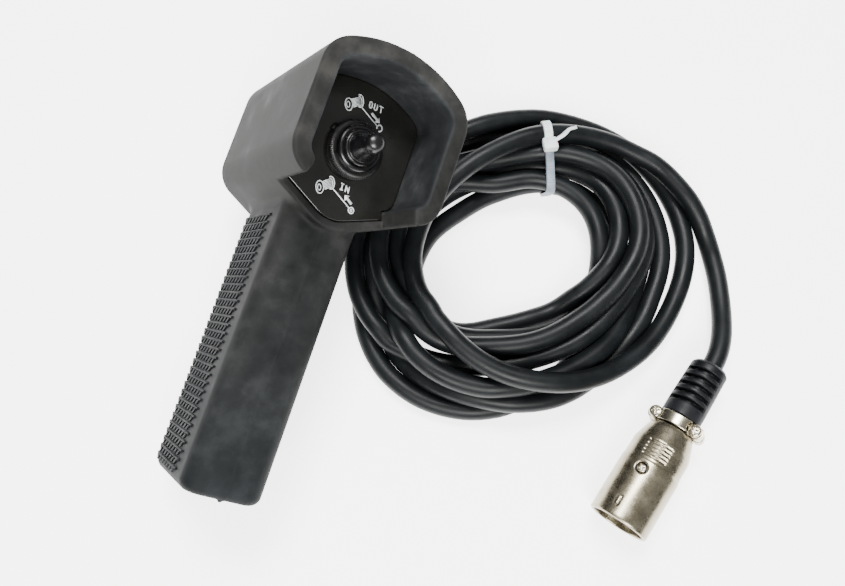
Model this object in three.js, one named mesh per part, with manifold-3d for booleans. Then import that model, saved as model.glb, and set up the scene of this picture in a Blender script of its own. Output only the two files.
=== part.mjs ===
// Pendant control station: a hooded pistol-grip housing with a booted momentary toggle,
// lying on a flat surface beside its tied coil of cord and the cord's three-pin connector.
// Millimetres, +Z up. The object rests on z = 0, with its own box (cord left out) centred
// on x = y = 0 and its grip along Y. "Pendant frame" below is the handset's own frame:
// x across it, y up the grip, z along the toggle, with z = 0 on the back of the head.

import * as THREE from 'three';
import { mergeVertices } from 'three/addons/utils/BufferGeometryUtils.js';
import Module from 'manifold-3d';

const wasm = await Module();
wasm.setup();

const GAP = 0.3;                    // clearance between touching pieces

// How the handset lies: rolled onto its right back edge, propped on its strain relief
const LEAN = THREE.MathUtils.degToRad(34);
const PITCH = THREE.MathUtils.degToRad(6);

// Head: a prism with a domed top, straight sides and a shallow V chin
const HEAD_HALF_WIDTH = 23.5;
const HEAD_TOP = 26.3;
const DOME_RADIUS = 37.4;
const SHOULDER_RADIUS = 10;
const JAW_RADIUS = 9;
const CHIN_APEX = -25.5;            // where the two straight chin lines would meet
const CHIN_SLOPE = 0.465;
const CHIN_RADIUS = 13.6;
const RIM_Z = 65;                   // the hood's rim
const EDGE_ROUND = 0.9;
const WALL = 5.3;                   // hood wall
const LIP = 2.6;                    // low wall round the chin of the plate
const LEDGE = 7.6;                  // inset of the switch cavity, which leaves the plate a ledge
const CAVITY_FLOOR = 7;
const HOOD_END_INNER = [14.8, -11.5];   // each hood wall ends on the line through these two
const HOOD_END_OUTER = [17, -17.5];

// Grip
const GRIP_HALF_WIDTH = 12;
const GRIP_BACK = 1.5;
const GRIP_FRONT = 42.8;
const GRIP_TOP = -14;
const GRIP_END = -104.5;
const GRIP_FRONT_RADIUS = 6;
const GRIP_BACK_RADIUS = 9.5;
const BUTT_ROUND = 3;
const RIB_COUNT = 32;
const RIB_PITCH = 2.46;
const RIB_FIRST = -24.2;
const RIB_WIDTH = 1.5;
const RIB_HEIGHT = 0.5;
const RIB_REACH = 32;               // how far up the flanks the ribs go

// Face plate and switch, stacked along the toggle's axis
const PLATE_FACE = 45.3;
const PLATE_BACK = 43.3;
const BUSHING_RADIUS = 5.85;
const BUSHING_TOP = 50.2;
const FRAME_TOP = 38;
const FRAME_HALF = [7.6, 12.9];
const FRAME_SHEET = 0.8;
const FRAME_BOTTOM = 28;
const BASE_TOP = 34;
const BASE_BOTTOM = 20.6;
const BASE_FLOOR = 23.4;
const BLADE_END = 14.4;
const BLADE_THICK = 0.8;
const BLADE_WIDTH = 4.8;
const TERMINAL_SPACING = 7.8;
const ROCKER_Z = 28;                // underside of the rocking contact at rest
const PIVOT_Z = 41;
const LEVER_TIP = 61.1;
const LEVER_FOOT = 31.6;
const BOOT_TIP = 61.9;

// Cord
const CORD_DIAMETER = 6.5;
const CORD_SIDES = 10;
const EXIT = [-4, 4];               // where the cord leaves the back of the head
const RELIEF_LENGTH = 6.5;
const RELIEF_NECK = 5;
const FLANGE_RADIUS = 6.6;          // the strain relief's flange, sunk flush in the back
const FLANGE_DEPTH = 1.5;
const COIL_CENTRE = [62.8, 34.1];
const COIL_HEIGHT = 15;
// Radius of the coil every 30 degrees round its centre, starting along +X
const COIL_INNER = [26.3, 29.7, 32.1, 29.6, 26.4, 25.8, 29.6, 32.8, 28, 20.7, 18.3, 20];
const COIL_OUTER = [54.5, 60.5, 55.8, 55.2, 50.5, 50.2, 52.3, 52.7, 57.5, 54.2, 48.9, 48.6];

// The cord's own route, from the strain relief to the coil and from the coil to the connector
const LEAD_ROUTE = [
  [-26.4, 45.4, 9.1], [-28.7, 46.4, 6.8], [-32.7, 48.8, 4.3], [-36.7, 52.3, 3.3],
  [-39.6, 56.7, 3.3], [-41.1, 62.3, 3.3], [-40.3, 67.8, 3.3], [-37.1, 73.1, 3.3],
  [-32.1, 76.7, 3.3], [-26.4, 77.8, 3.3], [-20.6, 76.8, 3.3], [-13.4, 74.5, 3.3],
  [-5.6, 71.3, 3.3], [2.4, 69, 3.3], [10.8, 67.3, 3.3], [19.3, 66.8, 3.3],
  [26.8, 68.2, 3.3], [33.8, 70.8, 3.3],
];
const TAIL_ROUTE = [
  [91, 82.9, 10.5], [96.3, 82, 10.3], [101.4, 80.1, 10], [106.6, 77, 9.8],
  [111.8, 73.4, 9.2], [116.7, 69.3, 7.4], [121.2, 64.8, 4.8], [124.7, 60.1, 3.5],
  [127.4, 55.2, 3.4], [129.6, 50.2, 3.7], [131.4, 44.6, 4.4],
  [132.7, 39.2, 5.5], [133.5, 33.4, 7.2], [133.7, 28.2, 8.5], [133.3, 23.4, 9.3],
];

// Cable tie round the coil's bundle, measured outwards from the coil's centre
const TIE_ANGLE = THREE.MathUtils.degToRad(93);
const TIE_WIDTH = 3.2;
const TIE_THICK = 1.3;
const TIE_REACH = [28, 49.6];
const TIE_HEAD = [39.6, 44.4];

// Connector, measured along its axis from the open end
const AXIS_HEIGHT = 9.5;
const CONNECTOR_FRONT = [115.3, -36.9];
const CONNECTOR_TURN = THREE.MathUtils.degToRad(73.3);
const CONNECTOR_ROLL = THREE.MathUtils.degToRad(26);
const SHELL_RADIUS = 9.4;
const SHELL_BORE = 8.1;
const SHELL_LENGTH = 33.9;
const INSERT_FRONT = 12;
const INSERT_BACK = 24;
const PIN_CIRCLE = 4;
const CONTACT_RADIUS = 1.15;
const BOOT_NECK = 4.9;
const SADDLE = [34.2, 38.2];
const BOOT_START = 38.5;
const CONNECTOR_LENGTH = 58.5;
const CLAMP_SCREW_X = 6.5;

const black = (colour, roughness) => ({ colour, roughness, metalness: 0 });
const metal = (colour, roughness) => ({ colour, roughness, metalness: 1 });

const LOOKS = {
  rubber: black(0x2e3133, 0.75),
  plate: black(0x17181a, 0.5),
  boot: black(0x0c0c0d, 0.3),
  cord: black(0x101112, 0.35),
  plastic: black(0x1a1a1c, 0.5),
  phenolic: black(0x3a2116, 0.6),
  darkMetal: metal(0x3c3a37, 0.4),
  nickel: metal(0xb9ad93, 0.3),
  zinc: metal(0xa9abae, 0.4),
  brass: metal(0xb08d4f, 0.35),
  silver: metal(0xc9c7c2, 0.3),
  nylon: black(0xc4cfd8, 0.5),
  red: black(0xa11a14, 0.5),
  white: black(0xd9d9d6, 0.5),
  green: black(0x1f6a34, 0.5),
};

// ---- Solids ------------------------------------------------------------------------------

function signedVolume(geometry) {
  const points = geometry.attributes.position;
  const index = geometry.index.array;
  const [a, b, c] = [new THREE.Vector3(), new THREE.Vector3(), new THREE.Vector3()];
  let volume = 0;
  for (let i = 0; i < index.length; i += 3) {
    a.fromBufferAttribute(points, index[i]);
    b.fromBufferAttribute(points, index[i + 1]);
    c.fromBufferAttribute(points, index[i + 2]);
    volume += a.dot(b.cross(c)) / 6;
  }
  return volume;
}

// A geometry with shared vertices merged and every face pointing out
function closed(geometry) {
  geometry.deleteAttribute('normal');
  geometry.deleteAttribute('uv');
  const merged = mergeVertices(geometry, 1e-4);
  if (signedVolume(merged) < 0) {
    const index = merged.index.array;
    for (let i = 0; i < index.length; i += 3) {
      [index[i + 1], index[i + 2]] = [index[i + 2], index[i + 1]];
    }
  }
  return merged;
}

function solid(geometry) {
  const merged = closed(geometry);
  return new wasm.Manifold(new wasm.Mesh({
    numProp: 3,
    vertProperties: new Float32Array(merged.attributes.position.array),
    triVerts: new Uint32Array(merged.index.array),
  }));
}

function geometryOf(body) {
  const mesh = body.getMesh();
  const geometry = new THREE.BufferGeometry();
  geometry.setAttribute('position', new THREE.BufferAttribute(mesh.vertProperties, 3));
  geometry.setIndex(new THREE.BufferAttribute(mesh.triVerts, 1));
  return geometry;
}

const join = (first, ...rest) => rest.reduce((a, b) => a.add(b), first);
const cut = (first, ...rest) => rest.reduce((a, b) => a.subtract(b), first);

// ---- Shapes ------------------------------------------------------------------------------

function arc(cx, cy, radius, from, to, steps) {
  const points = [];
  for (let i = 0; i <= steps; i++) {
    const angle = from + ((to - from) * i) / steps;
    points.push(new THREE.Vector2(cx + radius * Math.cos(angle), cy + radius * Math.sin(angle)));
  }
  return points;
}

function prism(points, z0, z1) {
  const geometry = new THREE.ExtrudeGeometry(new THREE.Shape(points), {
    depth: z1 - z0, bevelEnabled: false,
  });
  return solid(geometry.translate(0, 0, z0));
}

function roundedPrism(points, z0, z1, round, segments) {
  const geometry = new THREE.ExtrudeGeometry(new THREE.Shape(points), {
    depth: z1 - z0 - 2 * round,
    bevelThickness: round, bevelSize: round, bevelOffset: -round, bevelSegments: segments,
  });
  return solid(geometry.translate(0, 0, z0 + round));
}

const vectors = (pairs) => pairs.map(([x, y]) => new THREE.Vector2(x, y));

function box(x0, x1, y0, y1, z0, z1) {
  return prism(vectors([[x0, y0], [x1, y0], [x1, y1], [x0, y1]]), z0, z1);
}

// A body turned about Z from [radius, z] pairs that start and end on the axis or meet
function turned(pairs, segments) {
  const geometry = new THREE.LatheGeometry(vectors(pairs), segments);
  return solid(geometry.rotateX(Math.PI / 2));
}

function disc(radius, z0, z1, segments = 24) {
  return turned([[0, z0], [radius, z0], [radius, z1], [0, z1]], segments);
}

function ring(inner, outer, z0, z1, segments = 24) {
  return turned([[inner, z0], [outer, z0], [outer, z1], [inner, z1], [inner, z0]], segments);
}

function polygonPoints(sides, radius, turn = 0) {
  return arc(0, 0, radius, turn, turn + 2 * Math.PI * (1 - 1 / sides), sides - 1);
}

// Points round a toothed edge, high and low by turns
function toothedPoints(teeth, outer, inner) {
  const points = polygonPoints(teeth * 2, 1);
  return points.map((point, i) => point.multiplyScalar(i % 2 ? inner : outer));
}

// A round bar along a smooth curve through the points
function bar(points, radius, steps, sides) {
  const path = new THREE.CatmullRomCurve3(points.map((p) => new THREE.Vector3(...p)));
  const section = new THREE.Shape(polygonPoints(sides, radius));
  const geometry = new THREE.ExtrudeGeometry(section, {
    extrudePath: path, steps, bevelEnabled: false,
  });
  return solid(geometry);
}

// ---- The model ---------------------------------------------------------------------------

const object = new THREE.Group();
const handset = new THREE.Group();
handset.rotation.set(PITCH, LEAN, 0, 'XYZ');
object.add(handset);

function part(parent, name, body, look) {
  const { colour, roughness, metalness } = LOOKS[look];
  const material = new THREE.MeshStandardMaterial({ color: colour, roughness, metalness });
  const mesh = new THREE.Mesh(geometryOf(body), material);
  mesh.name = name;
  parent.add(mesh);
  return mesh;
}

// The head's outline, moved inwards by inset
function headOutline(inset) {
  const domeY = HEAD_TOP - DOME_RADIUS;
  const shoulderX = HEAD_HALF_WIDTH - SHOULDER_RADIUS;
  const shoulderY = domeY + Math.sqrt((DOME_RADIUS - SHOULDER_RADIUS) ** 2 - shoulderX ** 2);
  const shoulderAngle = Math.atan2(shoulderY - domeY, shoulderX);
  const slant = Math.hypot(1, CHIN_SLOPE);
  const jawX = HEAD_HALF_WIDTH - JAW_RADIUS;
  const jawY = CHIN_APEX + CHIN_SLOPE * jawX + JAW_RADIUS * slant;
  const jawAngle = Math.atan2(-1, CHIN_SLOPE);
  const chinY = CHIN_APEX + CHIN_RADIUS * slant;
  const right = [
    ...arc(0, domeY, DOME_RADIUS - inset, Math.PI / 2, shoulderAngle, 5),
    ...arc(shoulderX, shoulderY, SHOULDER_RADIUS - inset, shoulderAngle, 0, 5).slice(1),
    ...arc(jawX, jawY, JAW_RADIUS - inset, 0, jawAngle, 4),
    ...arc(0, chinY, CHIN_RADIUS - inset, jawAngle, -Math.PI / 2, 3),
  ];
  const left = right.slice(1, -1).map((p) => new THREE.Vector2(-p.x, p.y)).reverse();
  return [...right, ...left];
}

// Everything below the two lines where the hood walls end, grown by margin
function belowHoodWalls(margin, z0, z1) {
  const [ix, iy] = HOOD_END_INNER;
  const [ox, oy] = HOOD_END_OUTER;
  const along = new THREE.Vector2(ox - ix, oy - iy).normalize();
  const side = new THREE.Vector2(-along.y, along.x).multiplyScalar(margin);
  const at = (distance) => [
    ix + along.x * distance + side.x, iy + along.y * distance + side.y,
  ];
  const upper = at(-3);
  const lower = at(18);
  return prism(vectors([upper, [-upper[0], upper[1]], [-lower[0], lower[1]], lower]), z0, z1);
}

// The plate's solid: under the hood's opening, and wider round the chin
function plateShape(clearance, z0, z1) {
  const upper = prism(headOutline(WALL + clearance), z0, z1);
  const chin = prism(headOutline(LIP + clearance), z0, z1)
    .intersect(belowHoodWalls(-clearance, z0, z1));
  return upper.add(chin);
}

// The grip's section in x and z, moved outwards by out and cut off at top
function gripSection(out, top) {
  const half = GRIP_HALF_WIDTH + out;
  const back = GRIP_BACK - out;
  const r = GRIP_BACK_RADIUS + out;
  const lower = [
    ...arc(half - r, back + r, r, 0, -Math.PI / 2, 5),
    ...arc(r - half, back + r, r, -Math.PI / 2, -Math.PI, 5),
  ];
  if (top !== undefined) return [new THREE.Vector2(half, top), ...lower, new THREE.Vector2(-half, top)];
  const f = GRIP_FRONT_RADIUS;
  return [
    ...arc(f - half, GRIP_FRONT - f, f, Math.PI, Math.PI / 2, 5),
    ...arc(half - f, GRIP_FRONT - f, f, Math.PI / 2, 0, 5),
    ...lower,
  ];
}

// Lays a solid that was extruded upwards down along -Y from y
function alongGrip(body, y) {
  return body.rotate([90, 0, 0]).translate([0, y, 0]);
}

function housing() {
  const head = roundedPrism(headOutline(0), 0, RIM_Z, EDGE_ROUND, 2);
  const grip = alongGrip(
    roundedPrism(gripSection(0), 0, GRIP_TOP - GRIP_END, BUTT_ROUND, 3), GRIP_TOP);
  const ribs = [];
  for (let i = 0; i < RIB_COUNT; i++) {
    const y = RIB_FIRST - i * RIB_PITCH + RIB_WIDTH / 2;
    ribs.push(alongGrip(prism(gripSection(RIB_HEIGHT, RIB_REACH), 0, RIB_WIDTH), y));
  }
  const hood = prism(headOutline(WALL), PLATE_FACE, RIM_Z + 1);
  const chin = belowHoodWalls(0, PLATE_FACE, RIM_Z + 1);
  const seat = plateShape(0, PLATE_BACK - GAP, PLATE_FACE + 1);
  const cavity = prism(headOutline(LEDGE), CAVITY_FLOOR, PLATE_BACK);
  const gland = join(
    disc(RELIEF_NECK + GAP, -1, CAVITY_FLOOR + 1, 16),
    disc(FLANGE_RADIUS + GAP, -1, FLANGE_DEPTH + GAP, 20),
  ).translate([...EXIT, 0]);
  return cut(join(head, grip, ...ribs), hood, chin, seat, cavity, gland);
}

part(handset, 'rubber_housing', housing(), 'rubber');

const washerHole = BUSHING_RADIUS + GAP;
part(handset, 'face_plate',
  cut(plateShape(GAP, PLATE_BACK, PLATE_FACE), disc(washerHole, PLATE_BACK - 1, PLATE_FACE + 1)),
  'plate');

// ---- Toggle switch -----------------------------------------------------------------------

const PIN_RADIUS = 0.8;
const LEVER_BALL = 2.7;

function acrossPin(radius, reach) {
  return disc(radius, -reach, reach, 10).rotate([0, 90, 0]).translate([0, 0, PIVOT_Z]);
}

const bushing = turned([
  [3.1, 36.4], [4.7, 36.4], [4.7, FRAME_TOP + GAP], [7.2, FRAME_TOP + GAP], [7.2, 39.4],
  [BUSHING_RADIUS, 39.4], [BUSHING_RADIUS, BUSHING_TOP], [4.5, BUSHING_TOP], [3.1, 42.5],
  [3.1, 36.4],
], 24);
part(handset, 'threaded_bushing', cut(bushing, acrossPin(PIN_RADIUS + 0.1, 12)), 'nickel');
part(handset, 'pivot_pin', acrossPin(PIN_RADIUS, 5.2), 'zinc');

const lever = turned([
  [0, LEVER_FOOT + 3.4], [1.7, LEVER_FOOT + 3.4], [1.7, PIVOT_Z - 2.1], [LEVER_BALL, PIVOT_Z - 0.8],
  [LEVER_BALL, PIVOT_Z + 0.8], [1.6, PIVOT_Z + 2.4], [1.4, 50], [1.7, 58.6], [1.5, 60.3],
  [0.8, LEVER_TIP], [0, LEVER_TIP],
], 16);
const springBore = disc(1.1, LEVER_FOOT, PIVOT_Z - 2.6, 12);
part(handset, 'toggle_lever', cut(lever, acrossPin(PIN_RADIUS + 0.1, 12), springBore), 'zinc');

part(handset, 'plunger', turned([
  [0, ROCKER_Z + 1.1], [0.7, ROCKER_Z + 1.3], [1.3, ROCKER_Z + 2], [1.3, LEVER_FOOT + 2.7],
  [0.8, LEVER_FOOT + 2.7], [0.8, 36.2], [0, 36.2],
], 12), 'nylon');
part(handset, 'plunger_spring', ring(0.3, 0.8, 36.4, 38.1, 10), 'silver');

const [frameX, frameY] = FRAME_HALF;
part(handset, 'switch_frame', cut(
  box(-frameX, frameX, -frameY, frameY, FRAME_BOTTOM, FRAME_TOP),
  box(FRAME_SHEET - frameX, frameX - FRAME_SHEET, FRAME_SHEET - frameY, frameY - FRAME_SHEET,
    FRAME_BOTTOM - 1, FRAME_TOP - FRAME_SHEET),
  disc(5, FRAME_TOP - 2, FRAME_TOP + 1),
), 'zinc');

const baseX = frameX - FRAME_SHEET - GAP;
const baseY = frameY - FRAME_SHEET - GAP;
const terminals = [['common', 0], ['pay_out', TERMINAL_SPACING], ['pay_in', -TERMINAL_SPACING]];
const slot = (y, grow) => box(
  -BLADE_THICK / 2 - grow, BLADE_THICK / 2 + grow,
  y - BLADE_WIDTH / 2 - grow, y + BLADE_WIDTH / 2 + grow, BASE_BOTTOM - 1, BASE_FLOOR + 1);
part(handset, 'switch_base', cut(
  box(-baseX, baseX, -baseY, baseY, BASE_BOTTOM, BASE_TOP),
  box(-4.2, 4.2, 1.2 - baseY, baseY - 1.2, BASE_FLOOR, BASE_TOP + 1),
  ...terminals.map(([, y]) => slot(y, GAP)),
), 'phenolic');

part(handset, 'rocker_contact', prism(vectors([
  [-8.6, 0.2], [-2.6, 0], [2.6, 0], [8.6, 0.2], [8.6, 0.9], [2.6, 0.8], [-2.6, 0.8], [-8.6, 0.9],
]), -2.2, 2.2).rotate([90, 0, 90]).translate([0, 0, ROCKER_Z]), 'silver');

for (const [name, y] of terminals) {
  const contactTop = y === 0 ? ROCKER_Z - GAP : ROCKER_Z - 1.2;
  const padHalf = y === 0 ? 0.6 : 1.6;
  const blade = box(-BLADE_THICK / 2, BLADE_THICK / 2, y - BLADE_WIDTH / 2, y + BLADE_WIDTH / 2,
    BLADE_END, BASE_FLOOR + GAP);
  const pad = box(-2, 2, y - padHalf, y + padHalf, BASE_FLOOR + GAP, contactTop);
  part(handset, `${name}_terminal`, blade.add(pad), 'brass');
}

for (const [name, y] of terminals) {
  const reach = BLADE_WIDTH / 2 + GAP;
  const sleeve = cut(
    box(-1.5, 1.5, y - reach - 0.7, y + reach + 0.7, 13.2, 19.8),
    box(-BLADE_THICK / 2 - GAP, BLADE_THICK / 2 + GAP, y - reach, y + reach, 14, 20.8));
  part(handset, `${name}_receptacle`, sleeve, 'brass');
}

// ---- What clamps the switch to the plate, and its rubber boot ----------------------------

part(handset, 'lock_washer', prismRing(toothedPoints(14, 8.6, 7.9), washerHole, 42.3, 43), 'zinc');
part(handset, 'rear_nut', prismRing(polygonPoints(6, 8.25), washerHole, 39.7, 42), 'zinc');
part(handset, 'keyed_washer', cut(join(
  disc(8.2, 45.6, 46.2),
  box(-1.1, 1.1, 7, 9.5, 45.6, 46.2).rotate([0, 0, 64]),
), disc(washerHole, 45, 47)), 'darkMetal');
part(handset, 'knurled_nut', prismRing(toothedPoints(32, 8.5, 8.15), washerHole, 46.5, 48.4),
  'darkMetal');
part(handset, 'boot_collar', turned([
  [washerHole, 48.7], [6.9, 48.7], [6.9, 50.4], [6.2, 51.2], [5.4, 51.2], [5.4, 50.6],
  [washerHole, 50.6], [washerHole, 48.7],
], 24), 'darkMetal');

function prismRing(points, hole, z0, z1) {
  return cut(prism(points, z0, z1), disc(hole, z0 - 1, z1 + 1));
}

part(handset, 'rubber_boot', turned([
  [4.7, 50.6], [5.1, 51.6], [4.9, 52.3], [3.4, 53.6], [2.45, 55.5], [2.1, 57.2], [2.3, 58.6],
  [2.35, 59.8], [1.8, 61.2], [0.9, BOOT_TIP - 0.1], [0, BOOT_TIP], [0, 61.45], [1, 61.35],
  [1.85, 60.4], [2, 58.6], [1.8, 56.5], [1.9, 55.3], [2.7, 53.4], [3.9, 52], [4.3, 50.6],
  [4.7, 50.6],
], 20), 'boot');

// ---- Cord entry --------------------------------------------------------------------------

const [exitX, exitY] = EXIT;
part(handset, 'strain_relief', turned([
  [0, -RELIEF_LENGTH], [4, -RELIEF_LENGTH], [4.6, 0], [FLANGE_RADIUS, 0.1],
  [FLANGE_RADIUS, FLANGE_DEPTH], [RELIEF_NECK, FLANGE_DEPTH],
  [RELIEF_NECK, CAVITY_FLOOR + GAP], [6, CAVITY_FLOOR + GAP], [5.2, CAVITY_FLOOR + 1.4],
  [0, CAVITY_FLOOR + 1.4],
], 20).translate([exitX, exitY, 0]), 'cord');

const wires = [
  ['common', 'white', [[-3, 2.8, 8.8], [-3, 2.8, 9.5], [-2.2, 1.6, 10.6], [-0.5, 0.2, 11.6], [0, 0, 12.8]]],
  ['pay_out', 'red', [[-3.6, 5.4, 8.8], [-3.6, 5.4, 9.5], [-2.6, 6.6, 10.5], [-0.5, 7.7, 11.6],
    [0, 7.8, 12.8]]],
  ['pay_in', 'green', [[-5.6, 3, 8.8], [-5.6, 3, 9.6], [-5, -0.4, 10.6], [-2.6, -5.6, 11],
    [-0.4, -7.6, 11.6], [0, -7.8, 12.8]]],
];
for (const [name, look, route] of wires) {
  part(handset, `${name}_wire`, bar(route, 0.75, 10, 8), look);
}

// Sets the handset down with its box centred over the origin
object.updateMatrixWorld(true);
const extent = new THREE.Box3().setFromObject(handset.getObjectByName('rubber_housing'), true);
const centre = extent.getCenter(new THREE.Vector3());
handset.position.set(-centre.x, -centre.y, -extent.min.z);
object.updateMatrixWorld(true);

// ---- Cord --------------------------------------------------------------------------------

const xyz = (point) => [point.x, point.y, point.z];
const cordStart = handset.localToWorld(new THREE.Vector3(exitX, exitY, -RELIEF_LENGTH - GAP));
const connectorAxis = new THREE.Vector3(Math.cos(CONNECTOR_TURN), Math.sin(CONNECTOR_TURN), 0);
const cordEnd = new THREE.Vector3(...CONNECTOR_FRONT, AXIS_HEIGHT)
  .addScaledVector(connectorAxis, CONNECTOR_LENGTH + GAP);

part(object, 'cord_lead', bar([xyz(cordStart), ...LEAD_ROUTE], CORD_DIAMETER / 2, 26, CORD_SIDES),
  'cord');
part(object, 'cord_tail', bar([...TAIL_ROUTE, xyz(cordEnd)], CORD_DIAMETER / 2, 22, CORD_SIDES),
  'cord');

// A smooth closed outline through radii given at even angles
function coilLoop(radii) {
  const points = radii.map((radius, i) => {
    const angle = (i * 2 * Math.PI) / radii.length;
    return new THREE.Vector3(
      COIL_CENTRE[0] + radius * Math.cos(angle), COIL_CENTRE[1] + radius * Math.sin(angle), 0);
  });
  const loop = new THREE.CatmullRomCurve3(points, true).getPoints(48).slice(0, -1);
  return loop.map((point) => new THREE.Vector2(point.x, point.y));
}

// Room for a stretch of cord that meets the coil at the point and heads off towards the next
function cordNotch([x, y], [nextX, nextY], length) {
  const half = CORD_DIAMETER / 2 + 2 * GAP;
  const turn = THREE.MathUtils.radToDeg(Math.atan2(nextY - y, nextX - x));
  return box(-GAP, length, -half, half, -1, COIL_HEIGHT + 5)
    .rotate([0, 0, turn]).translate([x, y, 0]);
}

// Room for the tail where it crosses over the coil's outermost strand
function tailRoom() {
  const room = bar(TAIL_ROUTE.slice(0, 8), CORD_DIAMETER / 2 + 2 * GAP, 12, 12);
  return room.add(room.translate([0, 0, 3.5]));
}

function coilRing() {
  const outline = new THREE.Shape(coilLoop(COIL_OUTER));
  outline.holes.push(new THREE.Path(coilLoop(COIL_INNER)));
  const round = 2.5;
  const geometry = new THREE.ExtrudeGeometry(outline, {
    depth: COIL_HEIGHT - 2 * round,
    bevelThickness: round, bevelSize: round, bevelOffset: -round, bevelSegments: 2,
  });
  return solid(geometry.translate(0, 0, round));
}

// The tie's closed band, grown by clearance, standing across the bundle
function tieBand(clearance) {
  const [near, far] = TIE_REACH;
  const half = TIE_WIDTH / 2 + clearance;
  const outer = box(near - clearance, far + clearance, -half, half,
    -clearance, COIL_HEIGHT + clearance);
  const inside = TIE_THICK + clearance;
  const inner = box(near + inside, far - inside, -half - 1, half + 1,
    inside, COIL_HEIGHT - inside);
  return outer.subtract(inner);
}

// Swings a solid laid out along +X from the coil's centre to the tie's place
function atTie(body) {
  return body.rotate([0, 0, THREE.MathUtils.radToDeg(TIE_ANGLE)])
    .translate([...COIL_CENTRE, 0]);
}

const last = LEAD_ROUTE.length - 1;
part(object, 'cord_coil', cut(
  coilRing(),
  cordNotch(LEAD_ROUTE[last], LEAD_ROUTE[last - 1], 20),
  cordNotch(TAIL_ROUTE[0], TAIL_ROUTE[1], 8),
  tailRoom(),
  atTie(tieBand(GAP)),
), 'cord');

const [headNear, headFar] = TIE_HEAD;
const tieEnd = box(headFar - 0.5, 53.5, -1.6, 1.6, COIL_HEIGHT + 0.4, COIL_HEIGHT + 1.5);
part(object, 'cable_tie', atTie(join(
  tieBand(0),
  box(headNear + 0.5, headFar - 0.5, -1.8, 1.8, COIL_HEIGHT - TIE_THICK, COIL_HEIGHT + 1),
  box(headNear, headFar, -2.6, 2.6, COIL_HEIGHT + GAP, COIL_HEIGHT + 3),
  tieEnd,
)), 'nylon');

// ---- Connector ---------------------------------------------------------------------------

// Local z runs along the connector from its open end, and local y is up before it is rolled
const connector = new THREE.Group();
const up = new THREE.Vector3(0, 0, 1);
const side = new THREE.Vector3().crossVectors(up, connectorAxis);
connector.quaternion.setFromRotationMatrix(
  new THREE.Matrix4().makeBasis(side, up, connectorAxis));
connector.rotateZ(-CONNECTOR_ROLL);
connector.position.set(...CONNECTOR_FRONT, AXIS_HEIGHT);
object.add(connector);

// A round bar standing out from the axis at z, turned round it from straight up
function radial(radius, from, to, z, turn, segments = 16) {
  return disc(radius, from, to, segments).rotate([-90, 0, 0])
    .rotate([0, 0, turn]).translate([0, 0, z]);
}

const SCREW_Z = 17;
const SCREW_TURN = 0;

const ribbed = [];
for (let z = 22; z < 26; z += 1) {
  ribbed.push([9.3, z], [9.3, z + 0.5], [9, z + 0.6], [9, z + 0.9]);
}
part(connector, 'connector_shell', cut(turned([
  [SHELL_BORE, 0], [9, 0], [SHELL_RADIUS, 0.4], [SHELL_RADIUS, 20], [9, 20.3], [9, 21.9], ...ribbed,
  [9, 27], [7.2, 33.2], [6.8, SHELL_LENGTH], [5.3, SHELL_LENGTH], [5.3, 33], [SHELL_BORE, 26.5],
  [SHELL_BORE, 0],
], 32), radial(1.8, 5, 12, SCREW_Z, SCREW_TURN)), 'nickel');

const contacts = [['contact_1', -1, 0], ['contact_2', 1, 0], ['contact_3', 0, -1]];
const contactBore = ([, x, y]) => disc(CONTACT_RADIUS + 0.15, INSERT_FRONT - 1, INSERT_BACK + 1, 12)
  .translate([x * PIN_CIRCLE, y * PIN_CIRCLE, 0]);
part(connector, 'connector_insert', cut(
  disc(SHELL_BORE - GAP, INSERT_FRONT, INSERT_BACK, 28),
  ...contacts.map(contactBore),
  radial(1.1, 4.5, 10, SCREW_Z, SCREW_TURN, 12),
), 'plastic');
for (const [name, x, y] of contacts) {
  part(connector, name, turned([
    [0, 2.6], [0.7, 2.8], [CONTACT_RADIUS, 4], [CONTACT_RADIUS, 27], [0.8, 27], [0.8, 25],
    [0, 25],
  ], 12).translate([x * PIN_CIRCLE, y * PIN_CIRCLE, 0]), 'silver');
}

part(connector, 'shell_screw', cut(join(
  radial(1.5, 8.2, 9.2, SCREW_Z, SCREW_TURN),
  radial(0.9, 5, 8.4, SCREW_Z, SCREW_TURN, 10),
), box(-0.25, 0.25, 8.8, 10, -2, 2).rotate([0, 0, SCREW_TURN]).translate([0, 0, SCREW_Z])), 'nickel');

// Slots let into alternate sides of the boot's flexing half
function bootSlots() {
  const slots = [];
  for (let i = 0; i < 5; i++) {
    const z = 43.5 + i * 2.6;
    const across = box(-4.2, 4.2, 4.6, 8, z, z + 1.2);
    slots.push(across, across.rotate([0, 0, 180]));
    slots.push(across.rotate([0, 0, 90]).translate([0, 0, 0]));
    slots.push(across.rotate([0, 0, -90]).translate([0, 0, 0]));
  }
  return slots;
}

part(connector, 'connector_boot', cut(turned([
  [0, 29], [5.7, 29], [5.7, 30.4], [BOOT_NECK, 30.6], [BOOT_NECK, BOOT_START],
  [6.3, BOOT_START], [6.3, 42.8], [5.9, CONNECTOR_LENGTH - 0.8], [5.1, CONNECTOR_LENGTH],
  [0, CONNECTOR_LENGTH],
], 24), ...bootSlots()), 'cord');

const [saddleFrom, saddleTo] = SADDLE;
const saddleMiddle = (saddleFrom + saddleTo) / 2;

// A round bar standing up through the saddles' ears
function upright(radius, y0, y1, x, segments = 14) {
  return disc(radius, y0, y1, segments).rotate([-90, 0, 0]).translate([x, 0, saddleMiddle]);
}

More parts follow.
